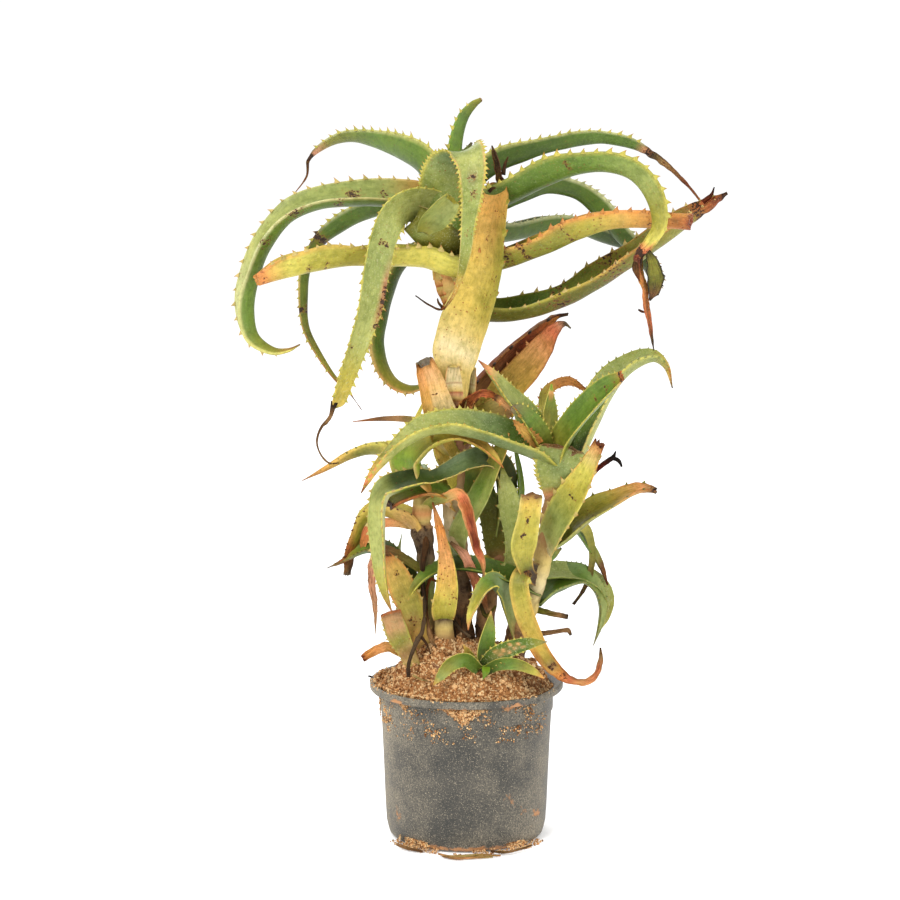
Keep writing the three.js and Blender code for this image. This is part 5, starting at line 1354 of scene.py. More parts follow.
# Smaller leaves that the CAD part leaves out, joined into one piece for each rosette.
smallLeaves = {
    "crownSmallLeaves": {"slot": "green_leaf", "leaves": (
        {"turn": -30, "channel": 0.5, "end": "torn", "rim": "yellowOlive", "jag": 2.5, "teeth": (4.6, 3.2),
         "toothed": (0.3, 1), "toothSides": "right",
         "path": ((-44, 616, -48, 7), (-37, 626, -56, 13), (-28, 636, -62, 15), (-20, 645, -66, 14),
                  (-15, 650, -67, 11)),
         "tones": "0 olive, 0.4 greyGreen, 1 paleGreen", "edge": "0 greyGreen, 1 yellowOlive"},
        {"channel": 0.5, "end": "cut", "rim": "gold", "hollow": 0.6, "teeth": (9, 0),
         "path": ((-14, 600, -6, 10), (-18, 589, -8, 13.5), (-20, 578, -8, 14.5), (-21, 567, -7, 12.5)),
         "tones": "0 yellowOlive, 0.5 yellow, 1 straw", "edge": "0 yellowOlive, 1 gold"},
        {"channel": 0.4, "end": "torn", "rim": "rust", "hollow": 0.6, "teeth": (9, 0), "speck": 0.6,
         "dry": ((0, 0.2), (1, 0.5)),
         "path": ((-20, 577, -6, 12.5), (-20, 565, -7, 12), (-18, 553, -7, 10), (-15, 541, -6, 7)),
         "tones": "0 yellowOlive, 0.2 straw, 0.35 peach, 0.4 rust, 0.44 straw, 0.6 peach, 0.64 rust, "
                  "0.68 straw, 0.8 peach, 0.84 rust, 0.88 straw, 1 peach", "edge": "0 peach, 1 rust"},
        {"channel": 0.45, "end": "torn", "rim": "straw", "hollow": 0.6, "teeth": (9, 0), "speck": 0.3,
         "dry": ((0, 0.2), (1, 0.3)),
         "path": ((-9, 436, -12, 13), (-7, 450, -15, 15.5), (-6, 466, -17, 16.5), (-5, 482, -19, 15)),
         "tones": "0 rust, 0.12 pink, 0.22 tan, 0.26 rust, 0.3 straw, 0.42 pink, 0.45 rust, 0.48 straw, "
                  "0.6 cream, 0.63 tan, 0.66 cream, 1 cream", "edge": "0 rust, 1 peach"},
        {"turn": 20, "teeth": (9, 2), "toothTone": "blackBrown", "dry": ((0, 0.8), (1, 0.8)),
         "path": ((179, 597, -95, 2.5), (184, 584, -95, 7), (186, 571, -95, 9.5), (186, 558, -94, 7),
                  (182, 547, -93, 1.2)),
         "tones": "0 darkBrown, 0.2 olive, 0.6 darkOlive, 0.85 brown, 1 blackBrown",
         "edge": "0 blackBrown, 1 blackBrown", "edgeFrom": 0.6},
        {"span": (1, 0, 0),
         "path": ((-14, 585, 10, 14), (-11, 602, 38, 15), (-5, 609, 72, 13), (0, 597, 110, 10.5),
                  (4, 567, 138, 7.5), (7, 532, 152, 1)),
         "tones": "0 olive, 0.4 leafGreen, 0.8 yellowOlive, 1 rust"},
        {"turn": 30, "teeth": (5, 2.4),
         "path": ((-6, 680, 22, 7), (-1, 693, 25, 5), (5, 704, 27, 1.2)),
         "tones": "0 darkGreen, 0.7 greyGreen, 1 greyBrown"})},
    "collarSmallLeaves": {"slot": "orange_leaf", "leaves": (
        {"turn": -30, "teeth": (8, 3.2), "toothTone": "orange", "speck": 0.5, "dry": ((0, 0.9), (1, 0.9)),
         "path": ((-10, 435, -12, 7), (2, 448, -24, 6), (16, 455, -32, 4.5), (30, 451, -38, 4.5),
                  (43, 441, -42, 5), (55, 430, -44, 2)),
         "tones": "0 brown, 0.2 rust, 0.4 salmon, 0.55 rust, 0.6 blackBrown, 0.66 peach, 0.85 tan, 1 gold"},
        {"turn": 30, "speck": 0.4,
         "path": ((-7, 410, -2, 12), (14, 426, -6, 14), (33, 436, -9, 13), (48, 437, -12, 8),
                  (56, 432, -14, 2)),
         "tones": "0 olive, 0.3 yellowOlive, 0.7 tan, 1 gold", "edge": "0 gold, 1 peach"},
        {"turn": 30, "teeth": (10, 1.2),
         "path": ((-11, 401, 8, 4), (-36, 421, 16, 4.5), (-56, 427, 22, 3.6), (-81, 428, 28, 2.6),
                  (-114, 425, 34, 0.5)),
         "tones": "0 olive, 0.4 olive, 0.6 tan, 0.8 brown, 1 rust"},
        {"turn": 40, "speck": 1.4,
         "path": ((-8, 363, -6, 12), (-16, 381, -16, 15), (-24, 397, -21, 15), (-30, 410, -24, 8)),
         "tones": "0 yellowOlive, 0.5 yellow, 1 gold", "edge": "0 lemon, 1 lemon"},
        {"span": (1, 0, 0), "dry": ((0, 0.2), (1, 0.8)),
         "path": ((-10, 394, 10, 14), (-6, 417, 36, 16), (2, 429, 66, 14), (8, 427, 96, 10),
                  (12, 410, 118, 5), (14, 394, 128, 1)),
         "tones": "0 gold, 0.5 orange, 1 brown"},
        {"turn": 10, "teeth": (9, 0),
         "path": ((-52, 420, -34, 3.2), (-49, 430, -36, 2.6), (-45, 440, -37, 1.6), (-42, 448, -37, 0.4)),
         "tones": "0 yellow, 0.6 lemon, 1 gold"})},
    "rightSmallLeaves": {"slot": "green_leaf", "leaves": (
        {"turn": 20, "teeth": (6, 2.6),
         "path": ((81, 390, -8, 9), (73, 410, -22, 12), (62, 426, -34, 11), (52, 436, -42, 8),
                  (45, 439, -47, 3)),
         "tones": "0 olive, 0.5 leafGreen, 1 greyBrown"},
        {"turn": 10, "teeth": (5, 3.4), "toothTone": "orange", "dry": ((0, 0.6), (1, 0.6)),
         "path": ((72, 402, -24, 6), (62, 412, -34, 6.5), (52, 421, -42, 4), (47, 427, -45, 1)),
         "tones": "0 orange, 0.4 gold, 1 orange"},
        {"turn": 10, "teeth": (9, 3), "toothTone": "orange", "speck": 0.5,
         "dry": ((0, 0), (0.5, 0.3), (1, 0.9)),
         "path": ((83, 396, 8, 7), (80, 432, 22, 8), (80, 454, 32, 6), (90, 463, 42, 5),
                  (104, 466, 52, 4.5), (120, 456, 62, 2)),
         "tones": "0 olive, 0.4 yellowOlive, 0.6 orange, 0.85 orange, 1 rust"},
        {"span": (1, 0, 0),
         "path": ((84, 376, 8, 11), (86, 398, 32, 13), (90, 411, 60, 11), (94, 405, 90, 8),
                  (97, 388, 112, 4), (98, 374, 120, 0.8)),
         "tones": "0 leafGreen, 0.6 greyGreen, 1 gold"},
        {"turn": 30, "teeth": (6, 2.6),
         "path": ((90, 392, 10, 7), (98, 412, 18, 8), (106, 430, 24, 6), (112, 442, 28, 1)),
         "tones": "0 darkGreen, 0.7 leafGreen, 1 olive"},
        {"turn": 10, "teeth": (12, 1.2), "dry": ((0, 0), (0.6, 0.1), (0.8, 1), (1, 1)),
         "path": ((81, 299, 6, 5), (102, 315, 24, 6), (118, 318, 38, 5), (126, 299, 48, 4),
                  (126, 275, 53, 3.5), (119, 254, 56, 2.6), (108, 238, 58, 1.8)),
         "tones": "0 olive, 0.3 yellowOlive, 0.55 olive, 0.8 brown, 1 darkBrown"},
        {"turn": -20, "teeth": (5, 1.4),
         "path": ((74, 276, 2, 4), (80, 283, 6, 4.5), (88, 289, 10, 4), (96, 296, 14, 1.2)),
         "tones": "0 greyGreen, 0.6 leafGreen, 0.85 olive, 1 blackBrown"})},
    "middleSmallLeaves": {"slot": "green_leaf", "leaves": (
        {"turn": -60, "teeth": (12, 1.6),
         "path": ((34, 298, 18, 5), (46, 326, 12, 7), (54, 350, 8, 6.5), (53, 374, 8, 4.5),
                  (50, 392, 10, 3), (48, 406, 12, 1)),
         "tones": "0 leafGreen, 0.4 brightGreen, 0.8 brightGreen, 1 lemon"},
        {"turn": 20, "teeth": (7, 2.6),
         "path": ((-9, 336, 6, 8), (-2, 355, -2, 12), (6, 372, -6, 10), (11, 386, -8, 4)),
         "tones": "0 olive, 0.6 leafGreen, 1 yellowOlive"},
        {"turn": 10, "teeth": (9, 1.4), "toothTone": "peach", "dry": ((0, 0.5), (1, 0.8)),
         "path": ((20, 230, 8, 4), (14, 248, -8, 6), (5, 271, -18, 5.5), (-3, 290, -24, 5),
                  (-16, 302, -28, 2)),
         "tones": "0 tan, 0.3 salmon, 0.7 pink, 1 brown"},
        {"span": (1, 0, 0),
         "path": ((33, 308, 22, 9), (37, 332, 50, 12), (44, 339, 80, 10), (52, 326, 104, 7),
                  (58, 304, 118, 1)),
         "tones": "0 olive, 0.6 leafGreen, 1 gold"},
        {"turn": (-60, -40), "teeth": (7, 1.6),
         "path": ((22, 256, 12, 5), (8, 268, 2, 7), (-6, 282, -6, 7), (-16, 296, -10, 5),
                  (-22, 306, -12, 1)),
         "tones": "0 greyGreen, 0.5 leafGreen, 1 olive"},
        {"turn": 20, "teeth": (7, 1.6),
         "path": ((30, 262, 14, 4), (26, 276, 4, 6), (18, 284, -4, 5), (8, 288, -8, 1)),
         "tones": "0 olive, 0.5 yellowOlive, 1 gold"})},
    "leftSmallLeaves": {"slot": "dark_green_leaf", "leaves": (
        {"turn": -60, "teeth": (10, 1),
         "path": ((-42, 242, -8, 4), (-62, 262, 2, 5), (-68, 288, 8, 3.5), (-65, 311, 12, 0.5)),
         "tones": "0 darkGreen, 0.5 darkOlive, 1 greyGreen"},
        {"turn": 20, "teeth": (6, 1.6), "toothTone": "brown", "dry": ((0, 0.3), (0.5, 1), (1, 1)),
         "path": ((-42, 271, -16, 4), (-66, 287, -24, 5), (-84, 293, -34, 5.5), (-93, 283, -42, 5),
                  (-95, 262, -46, 4.5), (-92, 237, -48, 3.2), (-92, 207, -48, 0.4)),
         "tones": "0 olive, 0.3 brown, 0.6 pink, 1 tan"},
        {"span": (1, 0, 0),
         "path": ((-42, 345, -8, 10), (-46, 367, 16, 12), (-52, 379, 42, 10), (-58, 373, 66, 7),
                  (-62, 355, 82, 0.8)),
         "tones": "0 olive, 0.5 leafGreen, 1 gold"},
        {"turn": 10, "teeth": (9, 1.4), "toothTone": "peach", "speck": 0.8, "dry": ((0, 0.3), (1, 0.8)),
         "path": ((-50, 318, -8, 4), (-76, 322, -2, 5), (-97, 316, 6, 5), (-102, 306, 8, 4.5),
                  (-105, 296, 9, 3)),
         "tones": "0 straw, 0.4 salmon, 1 orange"},
        {"turn": 40, "teeth": (7, 1.8),
         "path": ((-46, 236, -16, 5), (-52, 250, -20, 6.5), (-46, 262, -22, 5.5), (-38, 272, -24, 1)),
         "tones": "0 leafGreen, 0.5 olive, 1 olive"})},
    "suckerSmallLeaves": {"slot": "orange_leaf", "leaves": (
        {"turn": 40, "end": "torn", "rim": "redBrown", "jag": 2, "teeth": (9, 1.2), "toothTone": "peach",
         "dry": ((0, 0.3), (1, 0.8)),
         "path": ((-62, 185, -30, 5), (-79, 193, -36, 6), (-93, 188, -42, 5.5), (-105, 181, -46, 4.5)),
         "tones": "0 gold, 0.5 peach, 0.8 orange, 1 rust"},
        {"turn": 10, "teeth": (8, 1.6),
         "path": ((-40, 184, -14, 5), (-50, 197, -18, 6), (-58, 203, -22, 5), (-64, 205, -24, 1.5)),
         "tones": "0 olive, 1 yellowOlive"},
        {"teeth": (8, 0),
         "path": ((20, 174, -62, 3), (20, 170, -68, 4), (19, 165, -73, 2.6), (17, 160, -76, 0.5)),
         "tones": "0 brightGreen, 1 leafGreen"},
        {"turn": -30, "teeth": (5, 1.4),
         "path": ((12, 172, -50, 4), (6, 182, -54, 5), (1, 190, -57, 3.4), (-3, 196, -58, 0.6)),
         "tones": "0 olive, 0.5 olive, 1 gold"})},
}

for name, bunch in smallLeaves.items():
    grown = [makeLeaf(f"{name}{index}", leaf, bunch["slot"]) for index, leaf in enumerate(bunch["leaves"])]
    piece = joinPieces(name, grown)
    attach(piece, "root")
print("small leaves made")


# Stems: [across, up, back, radius]. Scars are rings that old leaves left, as (share, depth in mm), and
# rough is how high the lumps are.
stems = {
    "main_stem": {
        "slot": "stem", "rough": 1.5, "dry": ((0, 1), (0.2, 0.9), (0.28, 0.25), (0.5, 0.15), (1, 0)),
        "path": ((-2, 148, 8, 12), (-3, 190, 8, 12), (-5, 242, 7, 11), (-9, 293, 6, 11), (-12, 339, 4, 12),
                 (-10, 396, 2, 12), (-9, 447, 0, 12), (-10, 497, 0, 11), (-14, 547, 0, 10),
                 (-19, 582, 0, 11), (-14, 617, 0, 9), (-10, 642, 0, 6)),
        "tones": "0 darkBrown, 0.15 brown, 0.22 greyBrown, 0.27 tan, 0.33 cream, 0.42 tan, 0.5 pink, "
                 "0.6 peach, 0.76 straw, 0.8 peach, 0.84 straw, 0.88 straw, 1 olive",
        "scars": ((0.3, 0.5), (0.34, 0.4), (0.4, 0.6), (0.46, 0.7), (0.49, 0.8), (0.52, 0.6), (0.56, 0.7),
                  (0.61, 0.8), (0.66, 0.7), (0.71, 0.8), (0.75, 0.9), (0.79, 0.8))},
    "left_stem": {
        "slot": "stem", "rough": 1.3,
        "dry": ((0, 0.6), (0.3, 0.2), (0.5, 0.2), (0.56, 1), (0.63, 1), (0.68, 0.2), (1, 0)),
        "path": ((-36, 148, -12, 9), (-38, 190, -12, 9), (-40, 231, -12, 9), (-41, 273, -13, 8.5),
                 (-42, 303, -14, 8.5), (-45, 329, -15, 10), (-43, 350, -16, 9), (-42, 363, -16, 6)),
        "tones": "0 tan, 0.2 tan, 0.35 greyGreen, 0.5 greyBrown, 0.56 greyBrown, 0.6 darkBrown, 0.66 tan, "
                 "0.69 straw, 0.74 peach, 0.8 straw, 0.93 straw, 1 olive",
        "scars": ((0.1, 0.5), (0.22, 0.5), (0.35, 0.4), (0.47, 0.5), (0.68, 1.2), (0.78, 0.4),
                  (0.86, 0.6))},
    "right_stem": {
        "slot": "stem", "rough": 1.4, "dry": ((0, 1), (0.18, 0.8), (0.3, 0.2), (0.6, 0.2), (1, 0)),
        "path": ((46, 148, 4, 12), (49, 190, 4, 12), (54, 216, 4, 11), (65, 242, 2, 9.5), (73, 268, 1, 9),
                 (79, 296, 0, 9), (84, 324, 0, 9.5), (88, 350, 0, 9), (87, 376, 0, 8), (84, 398, 0, 5)),
        "tones": "0 darkBrown, 0.14 brown, 0.22 tan, 0.32 straw, 0.4 cream, 0.5 straw, 0.6 tan, 0.72 tan, "
                 "1 olive",
        "scars": ((0.28, 0.6), (0.36, 0.5), (0.44, 0.7), (0.5, 0.6), (0.56, 0.8), (0.64, 0.6), (0.7, 0.6))},
    "middle_stem": {
        "slot": "stem", "rough": 1.2, "dry": ((0, 1), (0.3, 0.5), (0.6, 0.4), (1, 0)),
        "path": ((22, 148, 14, 10), (20, 190, 14, 10), (20, 226, 14, 10), (23, 257, 15, 9),
                 (29, 283, 17, 8.5), (33, 309, 20, 7), (35, 324, 21, 4)),
        "tones": "0 darkBrown, 0.2 brown, 0.35 tan, 0.6 tan, 0.8 pink, 1 olive",
        "scars": ((0.35, 0.5), (0.5, 0.6), (0.66, 0.6), (0.8, 0.6))},
    "front_stem": {
        "slot": "stem", "rough": 0.6, "dry": ((0, 0.3), (1, 0.1)),
        "path": ((-18, 148, -21, 9.5), (-19, 185, -21, 9.5), (-22, 206, -21, 9.5), (-23, 226, -20, 9),
                 (-23, 240, -17, 6)),
        "tones": "0 tan, 0.45 tan, 0.6 straw, 0.72 greyBrown, 0.8 tan, 1 olive",
        "scars": ((0.7, 0.5), (0.8, 0.4))},
    "dried_stalk": {
        "slot": "dry_leaf", "rough": 1.1, "dry": ((0, 1), (1, 1)),
        "path": ((-42, 312, -22, 2.5), (-41, 299, -24, 4), (-44, 279, -26, 2.4), (-44, 257, -28, 1.9),
                 (-42, 239, -31, 2.1), (-45, 209, -38, 1.9), (-49, 202, -42, 2.4), (-58, 178, -54, 1.7),
                 (-59, 163, -64, 1.8)),
        "tones": "0 brown, 0.3 darkBrown, 0.7 greyBrown, 1 darkBrown",
        "scars": ((0.3, 0.6), (0.55, 0.8), (0.72, 0.8))},
}

tube = {
    "fewestRings": 10,
    "groove": 1.6,                # mm that the groove of a scar reaches along the tube
    "ridge": (0.7, 2.2, 1.6),     # past it: the height, place and reach, as shares of the groove's
    "lumps": (0.06, 1.4),         # scale and height
    "grit": (0.25, 0.7, 0.3),     # scale, height, and how much of it a fresh part keeps
    "fullRadius": 6,              # mm, and thinner tubes have lower lumps
    "speck": 0.3,
}


# A tube along a path, for stems, stalks, sticks, roots and threads.
def makeTube(name, rod, sides, ringStep, material, seed):
    rough = np.array(rod["path"], float)[:, :3] if rod.get("world") else placed(rod["path"])
    length = lengthOf(rough)
    count = int(max(tube["fewestRings"], length / ringStep))
    shares, centres, along, radii = stationsAlong(rough, rod["path"], count)
    reference = np.array([1.0, 0, 0]) if abs(along[0][0]) < 0.8 else np.array([0, 0, 1.0])
    right = unit(reference - along * (along @ reference)[:, None])
    rear = np.cross(along, right)
    reach = tube["groove"] / length
    high, past, wide = tube["ridge"]
    for place, deep in rod.get("scars", ()):
        radii = radii - deep * bumpAt(shares, place, reach)
        radii = radii + deep * high * bumpAt(shares - place, past * reach, wide * reach)
    angle = np.linspace(0, 2 * np.pi, sides, endpoint=False)
    spokes = right[:, None] * np.cos(angle)[None, :, None] + rear[:, None] * np.sin(angle)[None, :, None]
    dryness = numbersAlong(rod.get("dry", ((0, 1), (1, 1))), shares)
    flat = (centres[:, None] + spokes * radii[:, None, None]).reshape(-1, 3)
    lumpScale, lumpHeight = tube["lumps"]
    gritScale, gritHeight, freshGrit = tube["grit"]
    grit = waver(flat, gritScale, seed + 3) * gritHeight * (freshGrit + np.repeat(dryness, sides))
    lumps = (waver(flat, lumpScale, seed) * lumpHeight + grit).reshape(count, sides)
    lumps = lumps * rod["rough"] * np.minimum(1, radii / tube["fullRadius"])[:, None]
    rings = centres[:, None] + spokes * (radii[:, None] + lumps)[..., None]
    tint = np.repeat(coloursAlong(rod["tones"], shares)[:, None], sides, axis=1)
    piece = newObject(name, meshOfRings(name, rings, {
        "tint": np.concatenate([tint, np.ones((count, sides, 1))], axis=2),
        "dryness": np.repeat(dryness, sides),
        "speck": np.full(count * sides, tube["speck"]),
    }, arcAlong(centres)))
    piece.data.materials.append(material)
    return piece


# The dead, shaggy skirt below the left stem's ring of old leaf bases. Its rows are across, up, how far out
# from the stem's middle, and half width. The lower two flare out, and the last one hangs lower by its drop.
skirt = {
    "shreds": 16, "sides": 8, "ringStep": 2.0,
    "back": -15,
    "rows": ((-44, 319, 8.2, 2.6), (-45, 312, 8.2, 3.4), (-43, 304, 8, 2.6), (-42.5, 298, 6.5, 0.5)),
    "swing": 0.5,            # radians round the stem, either way
    "drop": (10, 9),         # mm, and how much it varies
    "flare": 0.25,
    "look": {"rough": 0.5, "tones": "0 tan, 0.3 greyBrown, 0.7 greyBrown, 1 darkBrown"},
}


def makeSkirt(material):
    shreds = []
    for shred in range(skirt["shreds"]):
        turn = shred / skirt["shreds"] * 2 * math.pi + skirt["swing"] * noise.noise(Vector((shred, 2.2, 0)))
        drop = skirt["drop"][0] + skirt["drop"][1] * noise.noise(Vector((shred, 7.7, 1)))
        flare = 1 + skirt["flare"] * noise.noise(Vector((shred, 1.3, 4)))
        rows = []
        for row, wide, fall in zip(skirt["rows"], (1, 1, flare, flare), (0, 0, 0, drop)):
            across, up, out, half = row
            rows.append((across + out * wide * math.cos(turn), up - fall,
                         skirt["back"] + out * wide * math.sin(turn), half))
        strip = {"path": rows, **skirt["look"]}
        piece = makeTube(f"shred{shred}", strip, skirt["sides"], skirt["ringStep"], material, shred + 60)
        shreds.append(piece)
    return shreds


for index, (node, rod) in enumerate(stems.items()):
    isStem = rod["slot"] == "stem"
    material = stemMaterial if isStem else leafMaterials["dry_leaf"]
    piece = makeTube(camel(node), rod, 36 if isStem else 16, 1.6, material, index + 40)
    if node == "left_stem":
        piece = joinPieces(camel(node), [piece, *makeSkirt(material)])
    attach(piece, "root")
    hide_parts(node)
print("stems made")


# Dry threads, sticks and roots. The last ones lie on the floor, and their rows are x, y, z and radius.
dryBits = {
    "dryThreads": (
        {"path": ((-132, 445, -90, 3.4), (-134, 439, -90, 2.2), (-136, 431, -90, 1.7),
                  (-140, 425, -90, 1.9), (-145, 420, -90, 1.2), (-150, 406, -90, 1.1),
                  (-147, 393, -90, 0.9), (-138, 383, -90, 1), (-128, 383, -90, 0.5)),
         "tones": "0 blackBrown, 0.1 darkBrown, 0.3 tan, 0.5 brown, 0.8 tan, 1 darkBrown"},
        {"path": ((-22, 541, -68, 1.5), (-26, 538, -68, 1.4), (-38, 543, -67, 1), (-51, 552, -66, 0.6)),
         "tones": "0 rust, 0.3 brown, 1 darkBrown"},
        {"path": ((-24, 540, -66, 1.6), (-28, 545, -64, 1.3), (-29, 549, -62, 0.8)),
         "tones": "0 darkBrown, 1 brown"},
        {"path": ((-36, 266, -24, 1.4), (-40, 252, -26, 1.6), (-39, 221, -30, 1.5), (-36, 203, -33, 2.6),
                  (-30, 192, -36, 1)),
         "tones": "0 rust, 0.4 brown, 0.8 tan, 1 darkBrown"},
        {"path": ((-40, 268, -24, 1.6), (-30, 262, -26, 1.3), (-22, 268, -27, 0.8)),
         "tones": "0 rust, 1 brown"},
        {"path": ((-46, 205, -40, 1.6), (-40, 196, -44, 1.4), (-36, 186, -48, 0.8)),
         "tones": "0 darkBrown, 1 brown"},
        {"path": ((234, 645, -27, 3), (242, 652, -28, 2), (245, 660, -28, 0.6)),
         "tones": "0 redBrown, 1 blackBrown"},
        {"path": ((172, 592, -95, 3.2), (169, 583, -95, 4.2), (170, 574, -95, 3), (173, 566, -95, 1)),
         "tones": "0 blackBrown, 0.6 brown, 1 redBrown"},
        {"path": ((171, 538, -92, 0.8), (175, 536, -92, 1.3), (180, 535, -92, 1)),
         "tones": "0 darkBrown, 1 redBrown"},
        {"path": ((36, 672, -38, 2.4), (38, 683, -38, 1.6), (41, 690, -38, 0.6)),
         "tones": "0 darkBrown, 1 brown"},
        {"path": ((22, 655, -38, 1.6), (27, 660, -39, 2.2), (34, 661, -39, 2.6)),
         "tones": "0 darkBrown, 1 brown"},
        {"path": ((-54, 164, -66, 0.9), (-46, 160, -72, 0.9), (-36, 157, -76, 0.7)),
         "tones": "0 straw, 1 tan"},
        {"path": ((-34, 176, -66, 0.9), (-26, 172, -68, 1.1), (-16, 180, -66, 0.8)),
         "tones": "0 pink, 1 tan"},
        {"path": ((-100, 163.5, 0, 0.7), (-98, 163, 0, 1.2), (-95, 162, 0, 0.9)),
         "tones": "0 blackBrown, 1 darkBrown"}),
    "drySticks": (
        {"path": ((50, 234, 8, 3.2), (72, 232, 10, 3.4), (88, 228, 11, 3), (103, 225, 12, 2.9)),
         "tones": "0 brown, 0.4 olive, 0.8 tan, 1 darkBrown"},
        {"path": ((54, 207, 10, 2.6), (80, 208, 11, 2.6), (94, 210, 12, 2.6), (103, 211, 12, 2.4),
                  (106, 206, 12, 1.4)),
         "tones": "0 brown, 0.4 tan, 0.8 tan, 1 blackBrown"},
        {"path": ((90, 344, 12, 5), (108, 358, 22, 5), (126, 373, 30, 4), (139, 383, 34, 2.7),
                  (147, 389, 36, 2.4), (150, 395, 37, 0.8)),
         "tones": "0 redBrown, 0.5 darkRed, 0.75 blackBrown, 1 blackBrown"},
        {"path": ((146, 388, 36, 2.2), (153, 385, 38, 2.2), (156, 379, 38, 1.2)),
         "tones": "0 blackBrown, 1 blackBrown"},
        {"path": ((-12, 232, -4, 2.4), (-14, 214, -12, 2.8), (-9, 200, -18, 2)),
         "tones": "0 brown, 1 blackBrown"},
        {"path": ((2, 236, -4, 2), (-3, 220, -14, 2.6), (-2, 203, -20, 2)),
         "tones": "0 tan, 0.5 darkBrown, 1 brown"},
        {"path": ((14, 238, -6, 2), (20, 226, -14, 2.2), (30, 236, -20, 1)),
         "tones": "0 darkBrown, 1 olive"},
        {"path": ((-16, 226, -6, 2.2), (-8, 214, -16, 2.4), (4, 204, -22, 1.4)),
         "tones": "0 darkBrown, 1 greyBrown"},
        {"path": ((10, 216, 0, 2.6), (16, 204, -10, 2.6), (17, 192, -18, 1.6)),
         "tones": "0 darkBrown, 1 brown"}),
    "rootStrands": (
        {"world": True,
         "path": ((-28, -88, 3, 1), (-16, -96, 2.5, 1.5), (2, -95, 2.9, 1.6), (18, -91, 2.5, 1.4),
                  (34, -92, 2.3, 0.8)),
         "tones": "0 peach, 0.5 straw, 1 peach"},
        {"world": True,
         "path": ((-24, -95, 2.3, 0.8), (-10, -101, 2.3, 1.3), (10, -98, 2.3, 1.2), (26, -96, 2.1, 0.8)),
         "tones": "0 tan, 0.5 peach, 1 straw"},
        {"world": True,
         "path": ((24, -84, 4.5, 1.2), (40, -84, 3.5, 1.6), (54, -76, 4.5, 1.2), (66, -70, 6.5, 0.7)),
         "tones": "0 brown, 0.5 tan, 1 brown"},
        {"world": True,
         "path": ((-70, -58, 3.5, 1.2), (-58, -70, 2.9, 1.6), (-44, -78, 2.5, 1)),
         "tones": "0 tan, 1 brown"}),
}
for name, rods in dryBits.items():
    bits = [makeTube(f"{name}{index}", {"rough": 1.2, **rod}, 9, 1.4, leafMaterials["dry_leaf"], index + 90)
            for index, rod in enumerate(rods)]
    piece = joinPieces(name, bits)
    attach(piece, "root")
print("dry bits made")


# A hump in two directions, 1 at its middle and falling away past its reaches.
def humpAt(across, up, acrossAt, upAt, wide, tall):
    return np.exp(-(((across - acrossAt) / wide) ** 2) - ((up - upAt) / tall) ** 2)


# Granules scattered on the faces whose "bed" is set, each a small lump with its own shade.
def makeGranuleTree():
    tree, sockets, given, result = newGeometryTree("looseGranules", {
        "Bed": ("Geometry", None), "Granules per square metre": ("Float", 9e4),
        "Granule size": ("Float", 0.002), "Roundness": ("Int", 1), "Sunk": ("Float", 0.2),
        "Seed": ("Int", 1), "Keep bed": ("Bool", True), "Finish": ("Material", None)}, "Strewn bed")
    size = given["Granule size"]

    def varied(kind, low, high, shift):
        seed = addNode(tree, "FunctionNodeIntegerMath", {0: given["Seed"], 1: shift}, operation="ADD")
        return randomOf(tree, kind, low, high, seed.outputs[0])

    def vectorMaths(operation, inputs):
        return addNode(tree, "ShaderNodeVectorMath", inputs, operation=operation).outputs[0]

    bed = namedValue(tree, "bed", "FLOAT")
    strewn = addNode(tree, "GeometryNodeDistributePointsOnFaces", {
        "Mesh": given["Bed"], "Density": times(tree, bed, given["Granules per square metre"]),
        "Seed": given["Seed"]})
    lump = addNode(tree, "GeometryNodeMeshIcoSphere", {"Radius": 1.0, "Subdivisions": given["Roundness"]})
    shape = vectorMaths("SCALE", {0: varied("FLOAT_VECTOR", (0.7, 0.6, 0.5), (1.25, 1.1, 0.95), 23),
                                  "Scale": times(tree, size, varied("FLOAT", 0.55, 1.3, 11))})
    turn = varied("FLOAT_VECTOR", (0, 0, 0), (6.28, 6.28, 6.28), 37)
    scattered = addNode(tree, "GeometryNodeInstanceOnPoints", {
        "Points": strewn.outputs["Points"], "Instance": lump.outputs["Mesh"],
        "Rotation": addNode(tree, "FunctionNodeEulerToRotation", {0: turn}).outputs[0], "Scale": shape})
    shade = varied("FLOAT", 0.0, 1.0, 51)
    shaded = storedOn(tree, scattered.outputs[0], "grain", shade, "FLOAT", "INSTANCE")
    bedAway = storedOn(tree, shaded, "bed", 0.0, "FLOAT", "INSTANCE")
    real = addNode(tree, "GeometryNodeRealizeInstances", {0: bedAway})
    place = addNode(tree, "GeometryNodeInputPosition").outputs[0]
    rough = addNode(tree, "ShaderNodeTexNoise", {"Vector": place, "Scale": 620.0, "Detail": 1.0})
    centred = vectorMaths("SUBTRACT", {0: rough.outputs["Color"], 1: (0.5, 0.5, 0.5)})
    moved = vectorMaths("SCALE", {0: centred, "Scale": times(tree, size, 1.5)})
    down = times(tree, given["Sunk"], times(tree, size, -1.0))
    lowered = addNode(tree, "ShaderNodeCombineXYZ", {2: down}).outputs[0]
    crumbled = addNode(tree, "GeometryNodeSetPosition", {
        "Geometry": real.outputs[0], "Offset": vectorMaths("ADD", {0: moved, 1: lowered})})

    # a bed that isn't kept is deleted where it has any bed value, and granules strewn before have none
    bedShown = maths(tree, "SUBTRACT", bed, times(tree, given["Keep bed"], 100.0))
    kept = addNode(tree, "GeometryNodeDeleteGeometry", {
        "Geometry": given["Bed"], "Selection": maths(tree, "GREATER_THAN", bedShown, 0.001)})
    endTree(tree, crumbled.outputs[0], kept.outputs[0], given["Finish"], result)
    return tree, sockets


granuleTree, granuleSockets = makeGranuleTree()


